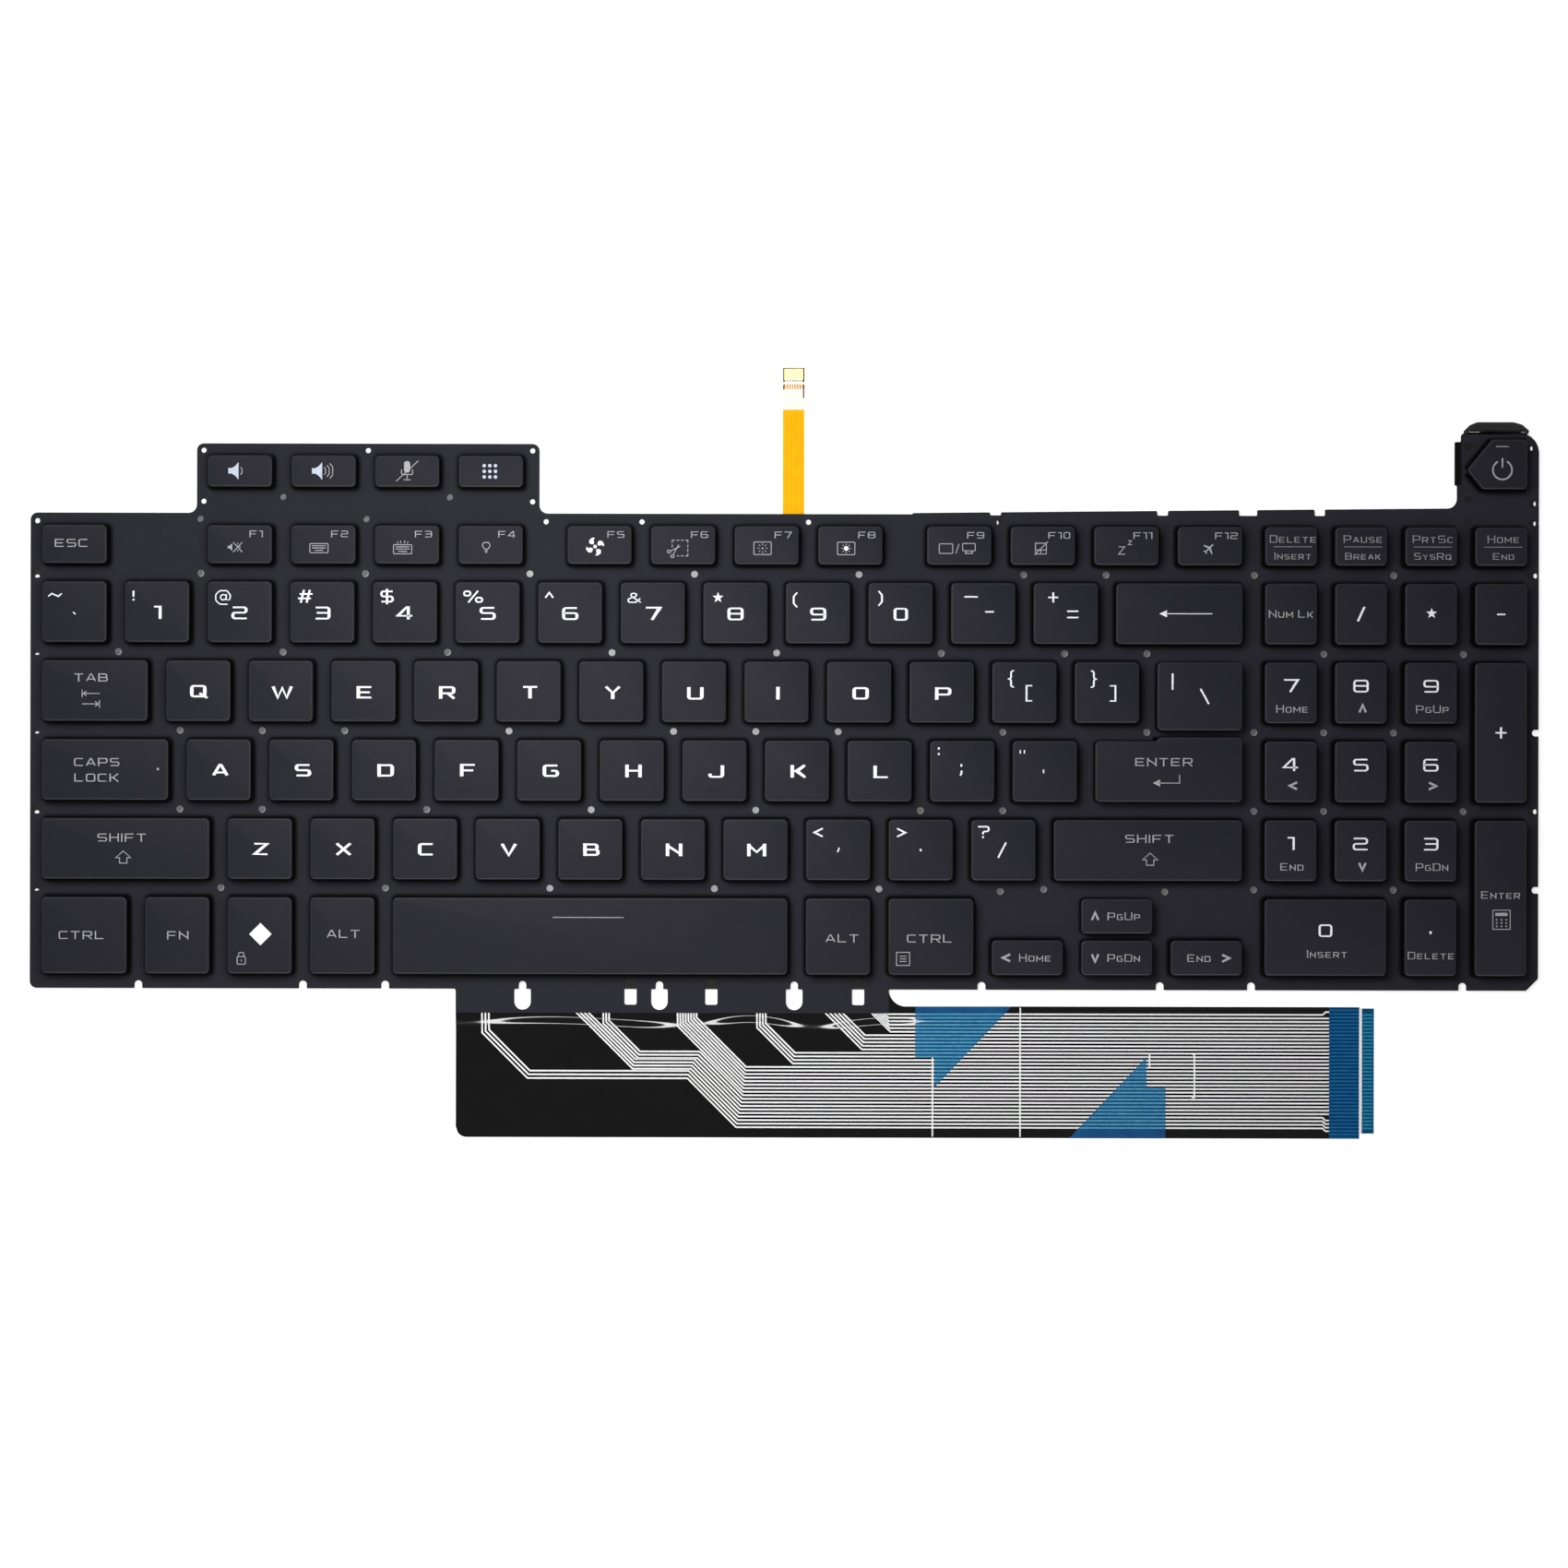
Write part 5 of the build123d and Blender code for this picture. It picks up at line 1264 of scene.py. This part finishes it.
# %% Traces on the film
def resampled(path, spacing):
    """A path's own corners, and points at even spacing between them wherever it is in the bend."""
    length = np.concatenate([[0], np.cumsum(np.linalg.norm(np.diff(path, axis=0), axis=1))])
    steps = np.arange(0, length[-1], spacing)
    bent = (np.interp(steps, length, path[:, 1]) > FLAT_BELOW) & (np.interp(steps, length, path[:, 0]) < FADE_END)
    places = np.union1d(length, steps[bent])
    places = places[np.concatenate([[True], np.diff(places) > 1e-3])]
    return np.stack([np.interp(places, length, path[:, i]) for i in range(2)], 1)


def laid(path, width, lift=0.0, spacing=0.3):
    """A thin printed line that lies on the tail along a path."""
    points, faces = stroke(resampled(np.asarray(path, float), spacing), width, False, -0.02, 0.03)
    points[:, 2] += tail_height(*points[:, :2].T) + TAIL_THICK + lift
    return points, faces


traces = [laid(path, TRACE) for paths in BUNDLES for path in paths]
piece("tail_traces", [(*trace, INK) for trace in traces])
PRINTED = [[(x, ARM_TOP - 0.3), (x, TAIL_BOTTOM + 0.3)] for x in (34.5, 54.8)]
PRINTED += [[(84.8, -63.7), (84.8, -66.9)], [(94.6, -63.7), (95.2, -63.7), (95.2, -73.7), (94.6, -73.7)]]
piece("tail_print", [(*laid(path, 0.32, 0.01), INK) for path in PRINTED])
print(len(traces), "traces")

# %% [markdown]
# ## Tapes, stiffener and contacts
# Two clear blue tapes hold the tail down. Each is a grid between a stepped left edge and a slanted right
# edge, and it takes the tail's height. The blue end stiffener is a plain block, so the solid stays and only
# gets a striped finish; past it the film's end carries fine contacts.

# %% Tapes
TAPE_WIDTH, TAPE_DEPTH, FLAG_WIDTH, FLAG_DEPTH, TAPE_THICK = 22.3, 18.8, 4.4, 11.7, 0.08


def tape(x, y, turn):
    """Rows from the slanted edge to the stepped one: left edge 0 then the flag's width."""
    down = np.concatenate([np.linspace(0, FLAG_DEPTH, 24), np.linspace(FLAG_DEPTH, TAPE_DEPTH - 0.02, 14)])
    flag = np.where(np.arange(38) < 24, 0, FLAG_WIDTH)
    slant = TAPE_WIDTH - (TAPE_WIDTH - FLAG_WIDTH) * down / TAPE_DEPTH
    share = np.linspace(0, 1, 30)
    px = x + turn * (flag[:, None] + (slant - flag)[:, None] * share)
    py = np.broadcast_to((y - turn * down)[:, None], px.shape)
    z = tail_height(px, py) + TAIL_THICK
    return (*leaf(px[::-1], py[::-1], z[::-1] + 0.02, z[::-1] + TAPE_THICK), TAPE)


def tape_lines(x, y, turn):
    """The traces that show through a tape: each row from its left edge to its slanted one."""
    made = []
    for place in trace_rows:
        down = turn * (y - place)
        if 0.1 < down < TAPE_DEPTH - 0.6:
            start = 0.1 if down < FLAG_DEPTH else FLAG_WIDTH
            stop = TAPE_WIDTH - (TAPE_WIDTH - FLAG_WIDTH) * (down + TRACE / 2) / TAPE_DEPTH
            made.append(laid([(x + turn * start, place), (x + turn * stop, place)], TRACE, TAPE_THICK))
    return made


TAPES = [(30.5, ARM_TOP, 1), (88.5, TAIL_BOTTOM, -1)]
surfaces = [tape(*place) for place in TAPES]
surfaces += [(*line, TAPE_LINE) for place in TAPES for line in tape_lines(*place)]
piece("tail_tape_patches", surfaces, replaces=["tail_tapes"])

# %% Contacts
TEAL = finish("contact_ink", (0.0, 0.055, 0.14), (0.001, 0.08, 0.18), (0.3, 0.4), 0.6, Specular_IOR_Level=0.06)
TOOTH = finish("contact_tooth", (0.01, 0.2, 0.36), (0.02, 0.26, 0.44), (0.3, 0.4), 0.6, Specular_IOR_Level=0.1)
CONTACT_LOW, CONTACT_HIGH = -82.0, ARM_TOP - 0.3
tongue = prism(box_corners(CONTACT_LEFT, TAIL_RIGHT, CONTACT_LOW, CONTACT_HIGH), 0.0, TAIL_THICK)
teeth = [y for y in trace_rows if CONTACT_LOW < y < CONTACT_HIGH]
teeth = [box_corners(CONTACT_LEFT, TAIL_RIGHT - 0.25, y - 0.2, y + 0.2) for y in teeth]
teeth = [prism(corners, TAIL_THICK - 0.02, TAIL_THICK + 0.03) for corners in teeth]
edge = prism(box_corners(CONTACT_LEFT - 0.05, CONTACT_LEFT + 0.6, CONTACT_LOW, CONTACT_HIGH), TAIL_THICK - 0.02, 0.26)
piece("tail_contact_ends", [(*tongue, TEAL), (*edge, INK)] + [(*tooth, TOOTH) for tooth in teeth])
print(len(teeth), "contacts")

# %% [markdown]
# ## The backlight ribbon
# A thin amber ribbon leaves the deck at the top and lies on the table, with a pale board and gold fingers at
# its end. It is a flexible cable, so it follows a smooth spline.

# %% Ribbon
RIBBON_X = 2.0
RIBBON_ROUTE = [(RIBBON_X, y, 0.05) for y in (58.1, 70.5, 82.9, 95.3)]
RIBBON_WIDTH, RIBBON_LENGTH = 5.0, 37.2
curve = bpy.data.curves.new("ribbon_route", "CURVE")
curve.dimensions = "3D"
spline = curve.splines.new("NURBS")
spline.points.add(len(RIBBON_ROUTE) - 1)
for point, place in zip(spline.points, RIBBON_ROUTE):
    point.co = (*[v * MM for v in place], 1)
spline.order_u = 3
spline.use_endpoint_u = True
route = bpy.data.objects.new("ribbon_route", curve)
line = bpy.data.meshes.new_from_object(route)
path = np.array([v.co for v in line.vertices])
bpy.data.objects.remove(route)
strap = stroke(path[:, :2] / MM, RIBBON_WIDTH, False, 0.0, 0.1)
ribbon = piece("backlight_cable", [(*strap, FLEX)], replaces=["backlight_ribbon"])
FINGERS = 8
finger_x = RIBBON_X + (np.arange(FINGERS) - (FINGERS - 1) / 2) * 0.6
BROWN = finish("contact_edge", (0.03, 0.012, 0.004), (0.06, 0.025, 0.008), (0.4, 0.5), 0.5, Specular_IOR_Level=0.1)
AMBER = finish("contact_band", (0.6, 0.26, 0.03), (0.75, 0.36, 0.06), (0.3, 0.4), 0.5, Specular_IOR_Level=0.1)
END_LOW, END_HIGH = 0.24, 0.28
bars = [prism(rounded(box_corners(x - 0.2, x + 0.2, 92.5, 95.0), 0.1, 3), END_LOW, END_HIGH) for x in finger_x]
band = [prism(box_corners(x - 0.17, x + 0.17, 90.3, 91.4), END_LOW, END_HIGH) for x in finger_x]
edging = [box_corners(-0.45, -0.15, 91.9, 95.2), box_corners(4.15, 4.45, 91.9, 95.2)]
edging += [box_corners(-0.15, 4.15, 95.0, 95.2)]
edging += [box_corners(x - 0.12, x + 0.12, 92.05, 92.35) for x in finger_x]
edging += [box_corners(-0.45, -0.15, 90.2, 91.3), box_corners(4.15, 4.45, 88.2, 91.3)]
surfaces = [(*bar, GOLD) for bar in bars] + [(*bar, AMBER) for bar in band]
surfaces += [(*prism(corners, END_LOW, END_HIGH), BROWN) for corners in edging]
fingers = piece("cable_fingers", surfaces)
LINES = 4
thin = [prism(box_corners(x - 0.12, x + 0.12, 62, 84.8), 0.09, 0.11) for x in RIBBON_X + (np.arange(LINES) - 1.5) * 1.1]
PALE_FLEX = finish("polyimide_line", (0.9, 0.37, 0.0), (0.94, 0.42, 0.001), (0.3, 0.4), 1.0, Specular_IOR_Level=0.03)
lines = piece("cable_lines", [(*bar, PALE_FLEX) for bar in thin])
print(len(path), "points along the ribbon")

# %% [markdown]
# ## The power tab's lip
# The plate's upper edge behind the power key is a shiny bead, and a dark strip stands out at the left. The
# bead is one outline moved inwards while it rises, which rounds it over.

# %% Lip and wall
GLOSS = finish("lip_gloss", grey(0.003), grey(0.006), (0.08, 0.16), 3.0, Specular_IOR_Level=0.25)
BEAD = [(157.6, 80.0), (172.0, 80.0), (172.4, 80.9), (170.8, 82.3), (168.8, 82.9)]
BEAD += [(160.3, 82.9), (158.6, 82.2), (157.1, 80.7)]
BEAD_INSETS, BEAD_HEIGHTS = (0, 0, 0.25, 0.6, 0.95), (0.55, 1.0, 1.3, 1.5, 1.58)
lip = shell([rounded(inset(np.array(BEAD), depth), 0.3, 5) for depth in BEAD_INSETS], BEAD_HEIGHTS)
# The strip's wall reuses the near-black finish that paints shade on the cap sides.
wall = inset(box_corners(STRIP_LEFT, POWER_LEFT + STRIP, STRIP_LOW, STRIP_HIGH), 0.1)
wall = prism(rounded(wall, 0.3, 4), 0.9, 1.1)
piece("power_tab_lip", [(*lip, GLOSS), (*wall, CAP_SIDE_PAINTED_SHADE)])

# %% [markdown]
# ## Solids that stay
# The spacer, the light guide, the backlight and the stiffener already have their final shape. They keep
# their solids and only take a finish. The stiffener's is a pattern of fine dark lines across it.

# %% Finishes for the solids
def striped(material, pitch, dark):
    """Dark lines along X over a finish: a sine of Y with the given pitch chooses between two colours."""
    nodes, links = material.node_tree.nodes, material.node_tree.links
    shader, shade = nodes["Principled BSDF"], nodes["Color Ramp"]
    wave = nodes.new("ShaderNodeTexWave")
    wave.bands_direction = "Y"
    wave.inputs["Scale"].default_value = 2 * np.pi / (20 * pitch * MM)
    links.new(nodes["Texture Coordinate"].outputs["Object"], wave.inputs["Vector"])
    mix = nodes.new("ShaderNodeMix")
    mix.data_type = "RGBA"
    mix.inputs["B"].default_value = (*dark, 1)
    links.new(wave.outputs["Fac"], mix.inputs["Factor"])
    links.new(shade.outputs["Color"], mix.inputs["A"])
    links.new(mix.outputs["Result"], shader.inputs["Base Color"])


striped(STIFFENER, ROW_PITCH, (0.0, 0.025, 0.1))
DRESS = {
    "membrane_spacer": SPACER,
    "light_guide": GUIDE,
    "reflector_film": REFLECTOR,
    "backlight_strip": FLEX,
    "backlight_leds": DIODE,
    "ribbon_contact_pad": PAD,
    "tail_stiffener": STIFFENER,
}
for node, material in DRESS.items():
    for slot in frame["nodes"][node].material_slots:
        slot.material = material
print(len(DRESS), "solids dressed")

# %% [markdown]
# ## Table, light and sky
# The keyboard was photographed on white. The floor is a pale matt sheet that looks white to the
# camera and still takes the keyboard's shadow; the sky gives an even studio light, a soft lamp from
# the upper left draws the edges of the caps, one overhead warms the middle, and a long one in front only
# shows as the glint in the bend of the tail.

# %% Floor
floor_mesh = bpy.data.meshes.new("floor")
side = 2.0
floor_mesh.from_pydata([(-side, -side, 0), (side, -side, 0), (side, side, 0), (-side, side, 0)], [], [(0, 1, 2, 3)])
floor = bpy.data.objects.new("floor", floor_mesh)
bpy.context.scene.collection.objects.link(floor)
pale = bpy.data.materials.new("pale_floor")
pale.use_nodes = True
nodes, links = pale.node_tree.nodes, pale.node_tree.links
shader = nodes["Principled BSDF"]
shader.inputs["Base Color"].default_value = (0.5, 0.5, 0.5, 1)
shader.inputs["Roughness"].default_value = 0.9
shader.inputs["Specular IOR Level"].default_value = 0.0
shader.inputs["Emission Color"].default_value = (1, 1, 1, 1)
rays = nodes.new("ShaderNodeLightPath")
seen = nodes.new("ShaderNodeMath")
seen.operation = "MULTIPLY"
seen.inputs[1].default_value = 0.7
links.new(rays.outputs["Is Camera Ray"], seen.inputs[0])
links.new(seen.outputs[0], shader.inputs["Emission Strength"])
floor_mesh.materials.append(pale)

# %% Light
world = bpy.data.worlds.new("studio")
world.use_nodes = True
bpy.context.scene.world = world
nodes, links = world.node_tree.nodes, world.node_tree.links
rays = nodes.new("ShaderNodeLightPath")
total = nodes.new("ShaderNodeMath")
total.operation, total.use_clamp = "ADD", True
more = nodes.new("ShaderNodeMath")
more.operation, more.use_clamp = "ADD", True
links.new(rays.outputs["Is Camera Ray"], total.inputs[0])
links.new(rays.outputs["Is Glossy Ray"], total.inputs[1])
links.new(total.outputs[0], more.inputs[0])
links.new(rays.outputs["Is Transmission Ray"], more.inputs[1])
level = nodes.new("ShaderNodeMapRange")
level.inputs["To Min"].default_value, level.inputs["To Max"].default_value = 0.25, 1.0
links.new(more.outputs[0], level.inputs["Value"])
links.new(level.outputs["Result"], nodes["Background"].inputs["Strength"])
nodes["Background"].inputs["Color"].default_value = (1, 1, 1, 1)


def lamp(name, width, depth, energy, place, turn, lights=True):
    """A rectangular lamp; turn is its tilt about X and Y in degrees from shining straight down.

    A lamp that only shows in shiny surfaces doesn't light the matt ones.
    """
    made = bpy.data.objects.new(name, bpy.data.lights.new(name, "AREA"))
    made.data.shape = "RECTANGLE"
    made.data.size, made.data.size_y, made.data.energy = width, depth, energy
    made.location = place
    made.rotation_euler = (*np.radians(turn), 0)
    made.visible_camera, made.visible_diffuse = False, lights
    bpy.context.scene.collection.objects.link(made)


lamp("soft_lamp", 0.39, 0.39, 6.5, (-0.33, 0.42, 1.2), (-19, -15))
lamp("glow_lamp", 0.14, 0.14, 0.36, (-0.06, 0.035, 0.22), (0, 0))
lamp("glint_lamp", 0.9, 0.05, 12.0, (0.0, -0.65, 0.74), (39, 0), False)
bpy.context.scene.view_settings.view_transform = "Standard"
